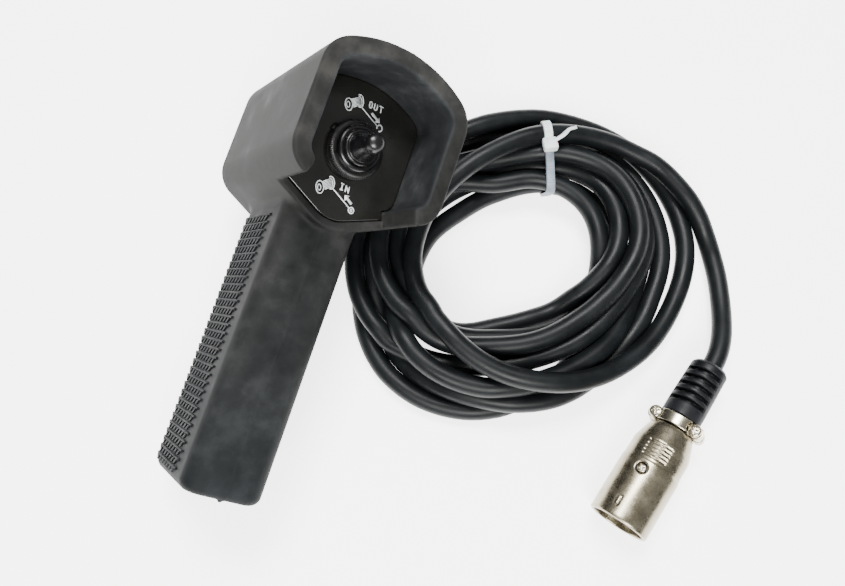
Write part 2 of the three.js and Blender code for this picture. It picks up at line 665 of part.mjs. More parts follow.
function saddle(upper) {
  const ears = [-1, 1].map((end) => join(
    upright(2.2, 0.2, 3, end * CLAMP_SCREW_X),
    box(Math.min(0, end * CLAMP_SCREW_X), Math.max(0, end * CLAMP_SCREW_X), 0.2, 3,
      saddleMiddle - 2, saddleMiddle + 2),
  ));
  const arch = disc(7, saddleFrom, saddleTo, 28).intersect(box(-8, 8, 0.2, 8, 30, 45));
  const screwRoom = [-1, 1].flatMap((end) => [
    upright(1.05, -5, 5, end * CLAMP_SCREW_X, 12),
    upright(2.4, 3, 9, end * CLAMP_SCREW_X),
  ]);
  const body = cut(join(arch, ...ears), disc(BOOT_NECK + GAP, 30, 45, 24), ...screwRoom);
  return upper ? body : body.rotate([0, 0, 180]);
}

part(connector, 'clamp_saddle_upper', saddle(true), 'nickel');
part(connector, 'clamp_saddle_lower', saddle(false), 'nickel');
for (const [name, x] of [['clamp_screw_left', CLAMP_SCREW_X], ['clamp_screw_right', -CLAMP_SCREW_X]]) {
  const head = turned([[0, 3.3], [2.1, 3.3], [2.1, 4], [1.4, 4.9], [0, 5.2]], 16);
  const slotted = head.subtract(box(-3, 3, -0.3, 0.3, 4.3, 6));
  part(connector, name, join(
    slotted.rotate([-90, 0, 0]).translate([x, 0, saddleMiddle]),
    upright(0.9, -2.8, 3.5, x, 10),
  ), 'nickel');
}

export default object;
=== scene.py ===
import math

import bmesh
import bpy
import numpy as np
from mathutils import Matrix, Vector


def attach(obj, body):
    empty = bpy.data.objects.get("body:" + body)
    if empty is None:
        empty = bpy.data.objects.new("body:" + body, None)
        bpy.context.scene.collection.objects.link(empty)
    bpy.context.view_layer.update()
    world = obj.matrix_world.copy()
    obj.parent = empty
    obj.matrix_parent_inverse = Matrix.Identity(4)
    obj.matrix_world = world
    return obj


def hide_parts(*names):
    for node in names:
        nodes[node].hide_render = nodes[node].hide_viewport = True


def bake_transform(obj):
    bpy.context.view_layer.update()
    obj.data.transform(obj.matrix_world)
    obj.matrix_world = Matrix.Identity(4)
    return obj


# Pendant control station on a pale surface. Sizes are in millimetres, in the handset's own
# frame (x across it, y up the grip, z along the toggle, z = 0 on the back of the head) or in
# the row frame, and everything is brought to the row frame's metres as it is made.

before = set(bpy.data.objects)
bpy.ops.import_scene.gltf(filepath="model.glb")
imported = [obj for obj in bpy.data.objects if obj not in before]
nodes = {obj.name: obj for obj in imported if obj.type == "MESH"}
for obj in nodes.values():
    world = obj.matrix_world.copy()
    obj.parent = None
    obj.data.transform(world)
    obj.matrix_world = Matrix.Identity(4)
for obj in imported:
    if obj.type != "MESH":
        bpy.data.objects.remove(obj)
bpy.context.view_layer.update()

MM = 0.001
LEAN = math.radians(34)
PITCH = math.radians(6)
HANDSET_PLACE = Vector((-18.17, 40.84, 13.69))

ROW = Matrix.Scale(MM, 4)
HANDSET = (ROW @ Matrix.Translation(HANDSET_PLACE) @ Matrix.Rotation(PITCH, 4, "X")
           @ Matrix.Rotation(LEAN, 4, "Y"))


# ---- Camera ----------------------------------------------------------------------------

CAMERA_PLACE = Vector((56.676, -51.715, 250.739))
CAMERA_FORWARD = Vector((-0.08206, 0.26146, -0.96172))
CAMERA_RIGHT = Vector((0.94981, 0.31279, 0.00399))
CAMERA_LENS = 32.29
SENSOR_WIDTH = 36


def make_camera():
    data = bpy.data.cameras.new("camera")
    data.sensor_width = SENSOR_WIDTH
    data.lens = CAMERA_LENS
    data.clip_start = 0.01
    camera = bpy.data.objects.new("camera", data)
    bpy.context.collection.objects.link(camera)
    forward = CAMERA_FORWARD.normalized()
    up = CAMERA_RIGHT.cross(forward).normalized()
    right = forward.cross(up)
    turn = Matrix((right, up, -forward)).transposed().to_4x4()
    camera.matrix_world = Matrix.Translation(CAMERA_PLACE * MM) @ turn
    bpy.context.scene.camera = camera


make_camera()


# ---- Cord ------------------------------------------------------------------------------

CORD_DIAMETER = 6.5
COIL_CENTRE = (62.8, 34.1)
COIL_FIRST_ANGLE = 120
COIL_STEP = -30
POINT_SPACING = 2.6                   # between points of the wound line
STEPS_PER_KEY = 4

CORD_EXIT = (-25.3, 45.2, 10.7)
LEAD_ROUTE = [
    (-26.4, 45.4, 9.1), (-28.7, 46.4, 6.8), (-32.7, 48.8, 4.3), (-36.7, 52.3, 3.3),
    (-39.6, 56.7, 3.3), (-41.1, 62.3, 3.3), (-40.3, 67.8, 3.3), (-37.1, 73.1, 3.3),
    (-32.1, 76.7, 3.3), (-26.4, 77.8, 3.3), (-20.6, 76.8, 3.3), (-13.4, 74.5, 3.3),
    (-5.6, 71.3, 3.3), (2.4, 69, 3.3), (10.8, 67.3, 3.3), (19.3, 66.8, 3.3),
    (26.8, 68.2, 3.3), (33.8, 70.8, 3.3),
]
TAIL_ROUTE = [
    (96.3, 82, 10.3), (101.4, 80.1, 10), (106.6, 77, 9.8), (111.8, 73.4, 9.2),
    (116.7, 69.3, 7.4), (121.2, 64.8, 4.8), (124.7, 60.1, 3.5), (127.4, 55.2, 3.4),
    (129.6, 50.2, 3.7), (131.4, 44.6, 4.4), (132.7, 39.2, 5.5), (133.5, 33.4, 7.2),
    (133.7, 28.2, 8.5), (133.3, 23.4, 9.3), (132.4, 19.4, 9.5),
]
# Each turn of the coil as (radius, height) every 30 degrees, clockwise, in the order in
# which the turns were wound
COIL_TURNS = [
    [(45.5, 3.3), (42, 3.3), (44, 3.3), (43, 3.3), (37.5, 3.3), (38.5, 8),
     (41, 10.5), (46.3, 12), (48.3, 12), (44, 8), (40, 5), (36, 6)],
    [(33.5, 9), (37.5, 10), (40.5, 12), (35.5, 13), (28, 9.5), (22.5, 3.3),
     (20.5, 3.3), (23.3, 3.3), (32.5, 3.3), (36.5, 3.3), (34, 3.3), (30.3, 3.3)],
    [(31.3, 3.3), (35, 3.3), (37.3, 3.3), (35.5, 3.3), (34.5, 3.3), (35.5, 3.3),
     (42, 3.3), (50.2, 3.3), (53.4, 3.3), (49.6, 3.3), (44.5, 3.3), (41, 5)],
    [(38, 8.5), (43, 9), (47.3, 9.3), (45.2, 9.3), (38, 9.7), (34.6, 9.7),
     (33.4, 9.7), (36.5, 9.7), (43.5, 9.7), (49.5, 9), (49.3, 8.5), (47.5, 6)],
    [(45, 3.3), (48, 3.3), (52.3, 3.3), (50, 3.3), (43.3, 3.3), (41.8, 3.3),
     (45.2, 7.5), (47.3, 8), (50.4, 3.3), (48, 3.3), (46.5, 3.3), (39, 9)],
    [(31.5, 9), (33.5, 9.5), (34, 9.5), (31, 9), (29, 3.6), (25.8, 8),
     (25, 8.7), (27.7, 8.7), (36.5, 8.7), (42, 9), (42.3, 10), (38, 13)],
    [(34.5, 13.5), (38.3, 15), (42.5, 15), (40.2, 15), (32.8, 14), (28.4, 13),
     (28.8, 13), (32.5, 13), (41.8, 13.5), (46.8, 13.5), (45.6, 13.5), (46, 12)],
    [(46, 9.5), (52, 6), (59.2, 3.3), (60, 3.3), (52.5, 3.3), (46.2, 7),
     (42.6, 15.5), (39.8, 17), (37.5, 16.5), (37.3, 14.5), (35.6, 13.5), (35, 14.5)],
    [(36.8, 15.5), (44.3, 15), (56.3, 10.5)],
]


def smooth_through(keys, per):
    """Catmull-Rom curve through the keys, with per steps to each span."""
    keys = np.array(keys, float)
    keys = np.vstack([2 * keys[0] - keys[1], keys, 2 * keys[-1] - keys[-2]])
    t = (np.arange(per) / per)[:, None]
    spans = []
    for p0, p1, p2, p3 in zip(keys, keys[1:], keys[2:], keys[3:]):
        spans.append(0.5 * (2 * p1 + (p2 - p0) * t + (2 * p0 - 5 * p1 + 4 * p2 - p3) * t**2
                            + (3 * p1 - p0 - 3 * p2 + p3) * t**3))
    return np.vstack(spans + [keys[-2]])


def evenly(points, step):
    """The same line with points about step apart."""
    run = np.r_[0, np.cumsum(np.linalg.norm(np.diff(points, axis=0), axis=1))]
    at = np.linspace(0, run[-1], int(round(run[-1] / step)) + 1)
    return np.stack([np.interp(at, run, points[:, i]) for i in range(3)], 1)


def wound_route():
    """The cord's line as wound: lead, turns and tail."""
    keys = smooth_through([key for turn in COIL_TURNS for key in turn], STEPS_PER_KEY)
    angle = np.radians(COIL_FIRST_ANGLE + COIL_STEP * np.arange(len(keys)) / STEPS_PER_KEY)
    coil = np.stack([COIL_CENTRE[0] + keys[:, 0] * np.cos(angle),
                     COIL_CENTRE[1] + keys[:, 0] * np.sin(angle), keys[:, 1]], 1)
    lead = smooth_through([CORD_EXIT] + LEAD_ROUTE, 6)
    return evenly(smooth_through(np.vstack([lead, coil, TAIL_ROUTE]), 4), POINT_SPACING)


def averaged(values):
    result = values.copy()
    result[1:-1] = 0.25 * values[:-2] + 0.5 * values[1:-1] + 0.25 * values[2:]
    return result


def settled(route, rounds=280, last_rounds=40, neighbour=6, held=25):
    """Pushes strands that lie in each other apart, and keeps the line smooth."""
    points = route.copy()
    order = np.arange(len(points))
    free = np.minimum(np.minimum(order, order[-1] - order) / held, 1)[:, None]
    for step in range(rounds):
        if step < rounds - last_rounds:
            shift = points - route
            for _ in range(3):
                shift = averaged(shift)
            points = route + shift
        if step % 8 == 0:
            apart = ((points[:, None] - points[None]) ** 2).sum(-1)
            close = (apart < (CORD_DIAMETER + 3) ** 2) & (order[:, None] - order > neighbour)
            first, second = np.where(close)
        gap = points[first] - points[second]
        distance = np.linalg.norm(gap, axis=1) + 1e-9
        depth = np.maximum(CORD_DIAMETER - distance, 0) / 2
        push = gap / distance[:, None] * depth[:, None]
        move = np.zeros_like(points)
        count = np.zeros(len(points))
        np.add.at(move, first, push)
        np.add.at(move, second, -push)
        np.add.at(count, first, depth > 0)
        np.add.at(count, second, depth > 0)
        points += move / np.maximum(count, 1)[:, None] * free
        points[:, 2] = np.maximum(points[:, 2], CORD_DIAMETER / 2)
    return points


cord_line = settled(wound_route())


def make_cord():
    points = smooth_through(cord_line, 2)
    data = bpy.data.curves.new("cord", "CURVE")
    data.dimensions = "3D"
    data.bevel_depth = CORD_DIAMETER / 2 * MM
    data.bevel_resolution = 8
    data.use_fill_caps = True
    spline = data.splines.new("POLY")
    spline.points.add(len(points) - 1)
    flat = np.c_[points * MM, np.ones(len(points))]
    spline.points.foreach_set("co", flat.ravel())
    spline.use_smooth = True
    line = bpy.data.objects.new("cord_line", data)
    bpy.context.collection.objects.link(line)
    skin = bpy.data.meshes.new_from_object(line)
    bpy.data.objects.remove(line)
    skin.shade_smooth()
    cord = bpy.data.objects.new("cord", skin)
    bpy.context.collection.objects.link(cord)
    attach(cord, "station")
    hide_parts("cord_lead", "cord_coil", "cord_tail")
    return cord


cord = make_cord()


# ---- Materials -------------------------------------------------------------------------

MATERIALS = {}


def new_material(name, **values):
    """A material kept in MATERIALS, with values set straight on the shader's sockets."""
    material = bpy.data.materials.new(name)
    material.use_nodes = True
    shader = material.node_tree.nodes["Principled BSDF"]
    for key, value in values.items():
        shader.inputs[key.replace("_", " ")].default_value = value
    MATERIALS[name] = material
    return material, material.node_tree, shader


def add(tree, kind, **inputs):
    node = tree.nodes.new(kind)
    for key, value in inputs.items():
        node.inputs[key.replace("_", " ")].default_value = value
    return node


def place(tree, stretch=(1, 1, 1), turn=(0, 0, 0)):
    """Object coordinates, turned and stretched."""
    coordinates = tree.nodes.new("ShaderNodeTexCoord")
    mapping = add(tree, "ShaderNodeMapping", Scale=stretch, Rotation=turn)
    tree.links.new(coordinates.outputs["Object"], mapping.inputs["Vector"])
    return mapping.outputs["Vector"]


def noise(tree, scale, detail=4, roughness=0.55, where=None):
    node = add(tree, "ShaderNodeTexNoise", Scale=scale, Detail=detail, Roughness=roughness)
    tree.links.new(where or place(tree), node.inputs["Vector"])
    return node.outputs["Fac"]


def ramp(tree, factor, *stops):
    node = tree.nodes.new("ShaderNodeValToRGB")
    elements = node.color_ramp.elements
    while len(elements) < len(stops):
        elements.new(0.5)
    for element, (position, colour) in zip(elements, stops):
        element.position = position
        element.color = (*colour, 1)
    tree.links.new(factor, node.inputs["Fac"])
    return node.outputs["Color"]


def levels(tree, factor, low, high, start=0.3, end=0.7):
    """factor spread from low to high."""
    node = tree.nodes.new("ShaderNodeMapRange")
    for key, value in zip(("From Min", "From Max", "To Min", "To Max"), (start, end, low, high)):
        node.inputs[key].default_value = value
    tree.links.new(factor, node.inputs["Value"])
    return node.outputs["Result"]


def mix(tree, factor, first, second, blend="MIX"):
    node = tree.nodes.new("ShaderNodeMix")
    node.data_type = "RGBA"
    node.blend_type = blend
    for key, value in ((0, factor), (6, first), (7, second)):
        if isinstance(value, (int, float)):
            node.inputs[key].default_value = value
        elif isinstance(value, tuple):
            node.inputs[key].default_value = (*value, 1)
        else:
            tree.links.new(value, node.inputs[key])
    return node.outputs[2]


def attribute(tree, name):
    node = tree.nodes.new("ShaderNodeAttribute")
    node.attribute_name = name
    return node.outputs["Fac"]


def bump(tree, shader, height, strength, distance=0.0001):
    node = add(tree, "ShaderNodeBump", Strength=strength, Distance=distance)
    tree.links.new(height, node.inputs["Height"])
    earlier = shader.inputs["Normal"].links
    if earlier:
        tree.links.new(earlier[0].from_socket, node.inputs["Normal"])
    tree.links.new(node.outputs["Normal"], shader.inputs["Normal"])


def grained(name, dark, pale, rough, patch=180, grain=2500, bumps=0.25, stretch=(1, 1, 1),
            **values):
    """Moulded or plated stuff: soft patches of colour and shine over a fine grain."""
    material, tree, shader = new_material(name, **values)
    where = place(tree, stretch)
    patches = noise(tree, patch, 5, where=where)
    fine = noise(tree, grain, 3, where=where)
    tone = mix(tree, 0.3, patches, fine)
    tree.links.new(ramp(tree, tone, (0.3, dark), (0.7, pale)), shader.inputs["Base Color"])
    low, high = rough
    tree.links.new(levels(tree, patches, low, high), shader.inputs["Roughness"])
    bump(tree, shader, fine, bumps)
    return material


def housing_material():
    """Matt moulded rubber, chalky on the head, darker down the grip and with a bluer, paler tone
    inside the hood. The grip's darker tone is partly its own colour and partly painted shade, and
    the skin between the grip's ribs carries painted shade.
    """
    material, tree, shader = new_material("housing_rubber", Specular_IOR_Level=0.1)
    broad = noise(tree, 38, 6, 0.6)
    cloudy = noise(tree, 140, 5, 0.6)
    fine = noise(tree, 2600, 3)
    chalk = mix(tree, 0.45, broad, cloudy)
    head = ramp(tree, chalk, (0.38, (0.0075, 0.0076, 0.0074)), (0.50, (0.0145, 0.0145, 0.0140)),
                (0.64, (0.031, 0.0305, 0.0285)))
    # darker grip tone: partly the rubber's own colour, partly painted shade for the grip's top face,
    # which gets less light than the head's flank
    grip = ramp(tree, chalk, (0.38, (0.0040, 0.0049, 0.0054)), (0.52, (0.0072, 0.0085, 0.0093)),
                (0.66, (0.0155, 0.0175, 0.0188)))
    inside = ramp(tree, chalk, (0.38, (0.0090, 0.0100, 0.0110)), (0.52, (0.0175, 0.0190, 0.0205)),
                  (0.64, (0.038, 0.0405, 0.0415)))
    colour = mix(tree, attribute(tree, "grip"), head, grip)
    colour = mix(tree, attribute(tree, "inside"), colour, inside)
    # painted shade: the skin between the grip's ribs is darkened almost to black, standing for the
    # shade in the slots between the teeth
    colour = mix(tree, attribute(tree, "painted_rib_shade"), colour, (0.0025, 0.003, 0.0032))
    tree.links.new(colour, shader.inputs["Base Color"])
    tree.links.new(levels(tree, chalk, 0.52, 0.8), shader.inputs["Roughness"])
    bump(tree, shader, cloudy, 0.12, 0.0004)
    bump(tree, shader, fine, 0.22, 0.00006)
    return material


def nickel(name, dark, pale, rough, turn=0.0):
    """Satin plate: fine hairlines round the piece, cloudy patches and small specks."""
    material, tree, shader = new_material(name, Metallic=1.0)
    along = place(tree)
    lines = place(tree, (1, 14, 1), (0, 0, turn))
    clouds = noise(tree, 260, 5, where=along)
    hair = noise(tree, 900, 3, where=lines)
    specks = noise(tree, 3800, 2, where=along)
    tone = mix(tree, 0.35, clouds, hair)
    tree.links.new(ramp(tree, tone, (0.28, dark), (0.7, pale)), shader.inputs["Base Color"])
    low, high = rough
    tree.links.new(levels(tree, mix(tree, 0.5, clouds, specks), low, high),
                   shader.inputs["Roughness"])
    bump(tree, shader, hair, 0.12, 0.00003)
    bump(tree, shader, specks, 0.16, 0.00002)
    return material


def nylon_material():
    """Natural nylon, milky in the tie's head and nearly clear in its thin strap."""
    material, tree, shader = new_material("nylon", Subsurface_Weight=0.2, Subsurface_Scale=0.0015)
    patches = noise(tree, 300, 5)
    fine = noise(tree, 2200, 3)
    thick = ramp(tree, patches, (0.3, (0.50, 0.55, 0.56)), (0.7, (0.70, 0.75, 0.76)))
    thin = ramp(tree, patches, (0.3, (0.13, 0.165, 0.21)), (0.7, (0.24, 0.285, 0.34)))
    tree.links.new(mix(tree, attribute(tree, "thin"), thick, thin), shader.inputs["Base Color"])
    tree.links.new(levels(tree, patches, 0.3, 0.5), shader.inputs["Roughness"])
    bump(tree, shader, fine, 0.1)
    return material


CONNECTOR_TURN = math.radians(73.3)

housing_material()
grained("plate_plastic", (0.0040, 0.0040, 0.0034), (0.0095, 0.0095, 0.0084), (0.12, 0.22),
        patch=90, grain=3600, bumps=0.05, Specular_IOR_Level=0.5)
nickel("nickel_plate", (0.34, 0.30, 0.22), (0.60, 0.56, 0.45), (0.18, 0.32))
nickel("steel", (0.36, 0.36, 0.35), (0.56, 0.56, 0.55), (0.28, 0.45))
grained("white_plastic", (0.62, 0.61, 0.58), (0.78, 0.77, 0.74), (0.4, 0.6))
grained("phenolic", (0.030, 0.012, 0.006), (0.075, 0.030, 0.016), (0.4, 0.65))
nickel("silver_contact", (0.62, 0.61, 0.58), (0.83, 0.82, 0.8), (0.16, 0.3))
nickel("brass", (0.50, 0.33, 0.12), (0.72, 0.52, 0.24), (0.2, 0.38))
grained("dark_metal", (0.003, 0.003, 0.003), (0.009, 0.0088, 0.0085), (0.24, 0.42), patch=500,
        grain=3500, bumps=0.2, Specular_IOR_Level=0.4)
grained("boot_rubber", (0.0015, 0.0015, 0.0017), (0.0045, 0.0045, 0.005), (0.22, 0.34),
        patch=300, grain=3000, bumps=0.05, Specular_IOR_Level=0.45)
grained("cord_jacket", (0.0019, 0.0025, 0.0029), (0.0060, 0.0073, 0.0080), (0.36, 0.5),
        patch=110, grain=1600, bumps=0.03, Specular_IOR_Level=0.16)
grained("wire_white", (0.6, 0.59, 0.56), (0.75, 0.74, 0.71), (0.35, 0.5))
grained("wire_red", (0.33, 0.014, 0.010), (0.48, 0.025, 0.018), (0.35, 0.5))
grained("wire_green", (0.010, 0.09, 0.026), (0.02, 0.16, 0.05), (0.35, 0.5))
nylon_material()
nickel("shell_nickel", (0.20, 0.172, 0.115), (0.42, 0.38, 0.28), (0.2, 0.36), CONNECTOR_TURN)
grained("insert_plastic", (0.010, 0.010, 0.011), (0.026, 0.026, 0.028), (0.35, 0.55))
grained("boot_plastic", (0.0018, 0.0020, 0.0027), (0.0055, 0.0062, 0.0078), (0.38, 0.58),
        patch=150, grain=2200, bumps=0.2, Specular_IOR_Level=0.18)
grained("ink", (0.56, 0.60, 0.62), (0.78, 0.81, 0.82), (0.45, 0.6), patch=700, grain=3000,
        bumps=0.1)

for name, node in nodes.items():
    for i, slot_material in enumerate(node.data.materials):
        wanted = slot_material.name.split(".")[0] if slot_material else ""
        if wanted in MATERIALS:
            node.data.materials[i] = MATERIALS[wanted]

cord.data.materials.append(MATERIALS["cord_jacket"])


# ---- Meshes ----------------------------------------------------------------------------

def mesh_of(name, solid):
    """The bmesh as a mesh; the bmesh is freed."""
    mesh = bpy.data.meshes.new(name)
    solid.to_mesh(mesh)
    solid.free()
    return mesh


def join_rings(solid, rings, closed=False):
    """Walls between rings of equal count, with an end face on each side unless closed."""
    for first, second in zip(rings, rings[1:] + (rings[:1] if closed else [])):
        for i in range(len(first)):
            j = (i + 1) % len(first)
            solid.faces.new((first[i], first[j], second[j], second[i]))
    if not closed:
        solid.faces.new(rings[0])
        solid.faces.new(rings[-1][::-1])


def mark(mesh, name, values):
    """Per-point shares that a material reads."""
    shares = mesh.attributes.new(name, "FLOAT", "POINT")
    shares.data.foreach_set("value", values.astype(np.float32))


def finish_mesh(name, mesh, place_matrix, slot_name, replaced=(), body="station"):
    mesh.transform(place_matrix)
    mesh.materials.append(MATERIALS[slot_name])
    mesh.shade_smooth()
    piece = bpy.data.objects.new(name, mesh)
    bpy.context.collection.objects.link(piece)
    if body:
        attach(piece, body)
    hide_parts(*replaced)
    return piece


def surface_net(field, origin, cell):
    """Vertices and quads of the surface where the sampled field is zero."""
    inside = field < 0
    corners = [(i, j, k) for i in (0, 1) for j in (0, 1) for k in (0, 1)]
    nx, ny, nz = (n - 1 for n in field.shape)

    def at(array, offset):
        i, j, k = offset
        return array[i:i + nx, j:j + ny, k:k + nz]

    count = sum(at(inside, corner).astype(np.int8) for corner in corners)
    cells = np.argwhere((count > 0) & (count < 8))
    number = np.full((nx, ny, nz), -1, np.int32)
    number[tuple(cells.T)] = np.arange(len(cells))
    values = np.stack([field[tuple((cells + corner).T)] for corner in corners], 1)
    total = np.zeros((len(cells), 3))
    crossings = np.zeros(len(cells))
    for a, first in enumerate(corners):
        for b, second in enumerate(corners):
            step = np.subtract(second, first)
            if step.sum() != 1 or abs(step).sum() != 1:
                continue
            va, vb = values[:, a], values[:, b]
            hit = (va < 0) != (vb < 0)
            share = np.where(hit, va / np.where(hit, va - vb, 1), 0)
            total += hit[:, None] * (np.array(first) + share[:, None] * step)
            crossings += hit
    points = (cells + total / crossings[:, None]) * cell + origin
    quads = []
    for axis in range(3):
        step = [0, 0, 0]
        step[axis] = 1
        size = [n - s for n, s in zip(field.shape, step)]
        low = inside[:size[0], :size[1], :size[2]]
        high = inside[step[0]:, step[1]:, step[2]:]
        edges = np.argwhere(low != high)
        sign = low[tuple(edges.T)]
        one, two = (axis + 1) % 3, (axis + 2) % 3
        ring = []
        for back_one, back_two in ((1, 1), (0, 1), (0, 0), (1, 0)):
            beside = edges.copy()
            beside[:, one] -= back_one
            beside[:, two] -= back_two
            ring.append(number[tuple(beside.T)])
        quad = np.stack(ring, 1)
        quads.append(np.where(sign[:, None], quad, quad[:, ::-1]))
    return points, np.vstack(quads)


def net_mesh(name, shape, low, high, cell, flat=0.0):
    """A mesh of the solid that shape(x, y, z) is negative in, flat parts merged."""
    axes = [np.arange(a - 2 * cell, b + 3 * cell, cell) for a, b in zip(low, high)]
    x, y, z = np.meshgrid(*axes, indexing="ij", sparse=True)
    field = np.asarray(shape(x, y, z))
    points, quads = surface_net(field, np.array([axis[0] for axis in axes]), cell)
    mesh = bpy.data.meshes.new(name)
    mesh.from_pydata(points.tolist(), [], quads.tolist())
    if flat:
        solid = bmesh.new()
        solid.from_mesh(mesh)
        bmesh.ops.dissolve_limit(solid, angle_limit=math.radians(flat), verts=solid.verts[:],
                                 edges=solid.edges[:])
        bmesh.ops.triangulate(solid, faces=[f for f in solid.faces if len(f.verts) > 4])
        solid.to_mesh(mesh)
        solid.free()
    return mesh


def even_shading(piece):
    """Normals that follow the larger faces."""
    modifier = piece.modifiers.new("normals", "WEIGHTED_NORMAL")
    modifier.keep_sharp = False
    modifier.weight = 60
    return piece


def smooth_max(a, b, k):
    h = np.maximum(k - abs(a - b), 0) / k
    return np.maximum(a, b) + h * h * k / 4


def smooth_min(a, b, k):
    return -smooth_max(-a, -b, k)


def step_between(low, high, value):
    t = np.clip((value - low) / (high - low), 0, 1)
    return t * t * (3 - 2 * t)


def rounded_prism(outline, along, start, end, radius):
    """A prism over the outline's field from start to end, its end edges rounded."""
    side = outline + radius
    ends = abs(along - (start + end) / 2) - (end - start) / 2 + radius
    outside = np.hypot(np.maximum(side, 0), np.maximum(ends, 0))
    return np.minimum(np.maximum(side, ends), 0) + outside - radius


def cylinder(x, y, along, radius, start, end):
    return np.maximum(np.hypot(x, y) - radius, abs(along - (start + end) / 2) - (end - start) / 2)


def outline_field(x, y, points):
    """Signed distance to a closed outline."""
    nearest = np.full(np.broadcast(x, y).shape, 1e9)
    flips = np.ones(nearest.shape)
    for (ax, ay), (bx, by) in zip(points, points[1:] + points[:1]):
        ex, ey = bx - ax, by - ay
        wx, wy = x - ax, y - ay
        share = np.clip((wx * ex + wy * ey) / max(ex * ex + ey * ey, 1e-12), 0, 1)
        nearest = np.minimum(nearest, (wx - ex * share) ** 2 + (wy - ey * share) ** 2)
        above, below, left = y >= ay, y < by, ex * wy > ey * wx
        crossed = (above & below & left) | (~above & ~below & ~left)
        flips = np.where(crossed, -flips, flips)
    return flips * np.sqrt(nearest)


def rounded_corners(points, radius, steps=3):
    """A closed [r, z] outline with its corners rounded by radius where they have room."""
    count = len(points)
    result = []
    for i, point in enumerate(points):
        here = Vector(point)
        back = Vector(points[i - 1]) - here
        ahead = Vector(points[(i + 1) % count]) - here
        size = min(radius, back.length * 0.42, ahead.length * 0.42)
        bend = math.pi - back.angle(ahead, math.pi)
        if bend < 0.12 or here.x < 1e-6:
            result.append(tuple(here))
            continue
        start = here + back.normalized() * size
        end = here + ahead.normalized() * size
        for j in range(steps + 1):
            t = j / steps
            result.append(tuple((1 - t) ** 2 * start + 2 * t * (1 - t) * here + t * t * end))
    return result


def turned_mesh(name, outline, sides=96, wave=None, radius=0.15):
    """A body turned about z from a closed outline; wave(angle, r, z) gives the radius there."""
    outline = rounded_corners(outline, radius) if radius else outline
    solid = bmesh.new()
    rings = []
    for r, z in outline:
        if r < 1e-6:
            rings.append([solid.verts.new((0, 0, z))])
            continue
        ring = []
        for i in range(sides):
            angle = 2 * math.pi * i / sides
            reach = wave(angle, r, z) if wave else r
            ring.append(solid.verts.new((reach * math.cos(angle), reach * math.sin(angle), z)))
        rings.append(ring)
    for first, second in zip(rings, rings[1:] + rings[:1]):
        for i in range(sides):
            j = (i + 1) % sides
            loop = [first[i % len(first)], first[j % len(first)],
                    second[j % len(second)], second[i % len(second)]]
            face = list(dict.fromkeys(loop))
            if len(face) > 2:
                solid.faces.new(face)
    bmesh.ops.recalc_face_normals(solid, faces=solid.faces)
    return mesh_of(name, solid)


# ---- Housing ---------------------------------------------------------------------------

HEAD_HALF_WIDTH = 23.5
HEAD_TOP = 26.3
DOME_RADIUS = 37.4
SHOULDER_RADIUS = 10
JAW_RADIUS = 9
CHIN_APEX = -25.5
CHIN_SLOPE = 0.465
CHIN_RADIUS = 13.6
RIM_Z = 65
WALL = 5.3
LIP = 2.6
LEDGE = 7.6
PLATE_FACE = 45.3
PLATE_BACK = 43.3
CAVITY_FLOOR = 7
HOOD_END_INNER = (14.8, -11.5)
HOOD_END_OUTER = (17, -17.5)
GAP = 0.3
EXIT = (-4, 4)

GRIP_HALF_WIDTH = 12
GRIP_BACK = 1.5
GRIP_FRONT = 42.8
GRIP_TOP = -14
GRIP_END = -104.5
GRIP_FRONT_RADIUS = 6
GRIP_BACK_RADIUS = 9.5
RIB_COUNT = 32
RIB_PITCH = 2.46
RIB_FIRST = -24.2
RIB_HEIGHT = 0.7
RIB_REACH = 32
TOOTH_PITCH = 3.0
TOOTH_WIDTH = 1.55
TOOTH_SLANT = 2.1


def arc(cx, cy, radius, start, end, steps):
    angles = [start + (end - start) * i / steps for i in range(steps + 1)]
    return [(cx + radius * math.cos(a), cy + radius * math.sin(a)) for a in angles]


def head_outline():
    dome_y = HEAD_TOP - DOME_RADIUS
    shoulder_x = HEAD_HALF_WIDTH - SHOULDER_RADIUS
    shoulder_y = dome_y + math.sqrt((DOME_RADIUS - SHOULDER_RADIUS) ** 2 - shoulder_x ** 2)
    shoulder = math.atan2(shoulder_y - dome_y, shoulder_x)
    slant = math.hypot(1, CHIN_SLOPE)
    jaw_x = HEAD_HALF_WIDTH - JAW_RADIUS
    jaw_y = CHIN_APEX + CHIN_SLOPE * jaw_x + JAW_RADIUS * slant
    jaw = math.atan2(-1, CHIN_SLOPE)
    right = (arc(0, dome_y, DOME_RADIUS, math.pi / 2, shoulder, 12)
             + arc(shoulder_x, shoulder_y, SHOULDER_RADIUS, shoulder, 0, 10)
             + arc(jaw_x, jaw_y, JAW_RADIUS, 0, jaw, 10)
             + arc(0, CHIN_APEX + CHIN_RADIUS * slant, CHIN_RADIUS, jaw, -math.pi / 2, 6))
    return right + [(-x, y) for x, y in reversed(right[1:-1])]


def below_hood_walls(x, y):
    """Negative between the two lines on which the hood's walls end, and below their tops."""
    (ix, iy), (ox, oy) = HOOD_END_INNER, HOOD_END_OUTER
    length = math.hypot(ox - ix, oy - iy)
    side = ((abs(x) - ix) * (iy - oy) + (iy - y) * (ix - ox)) / length
    return np.maximum(side, y - (iy + 2.8))


def plate_outline(x, y):
    head = outline_field(x, y, head_outline())
    return smooth_min(head + WALL, np.maximum(head + LIP, below_hood_walls(x, y)), 0.6)


def rib_zone(y, z):
    last = RIB_FIRST - (RIB_COUNT - 1) * RIB_PITCH
    return (step_between(RIB_REACH + 0.2, RIB_REACH - 0.4, z)
            * (y < RIB_FIRST + 0.8) * (y > last - 2.2))


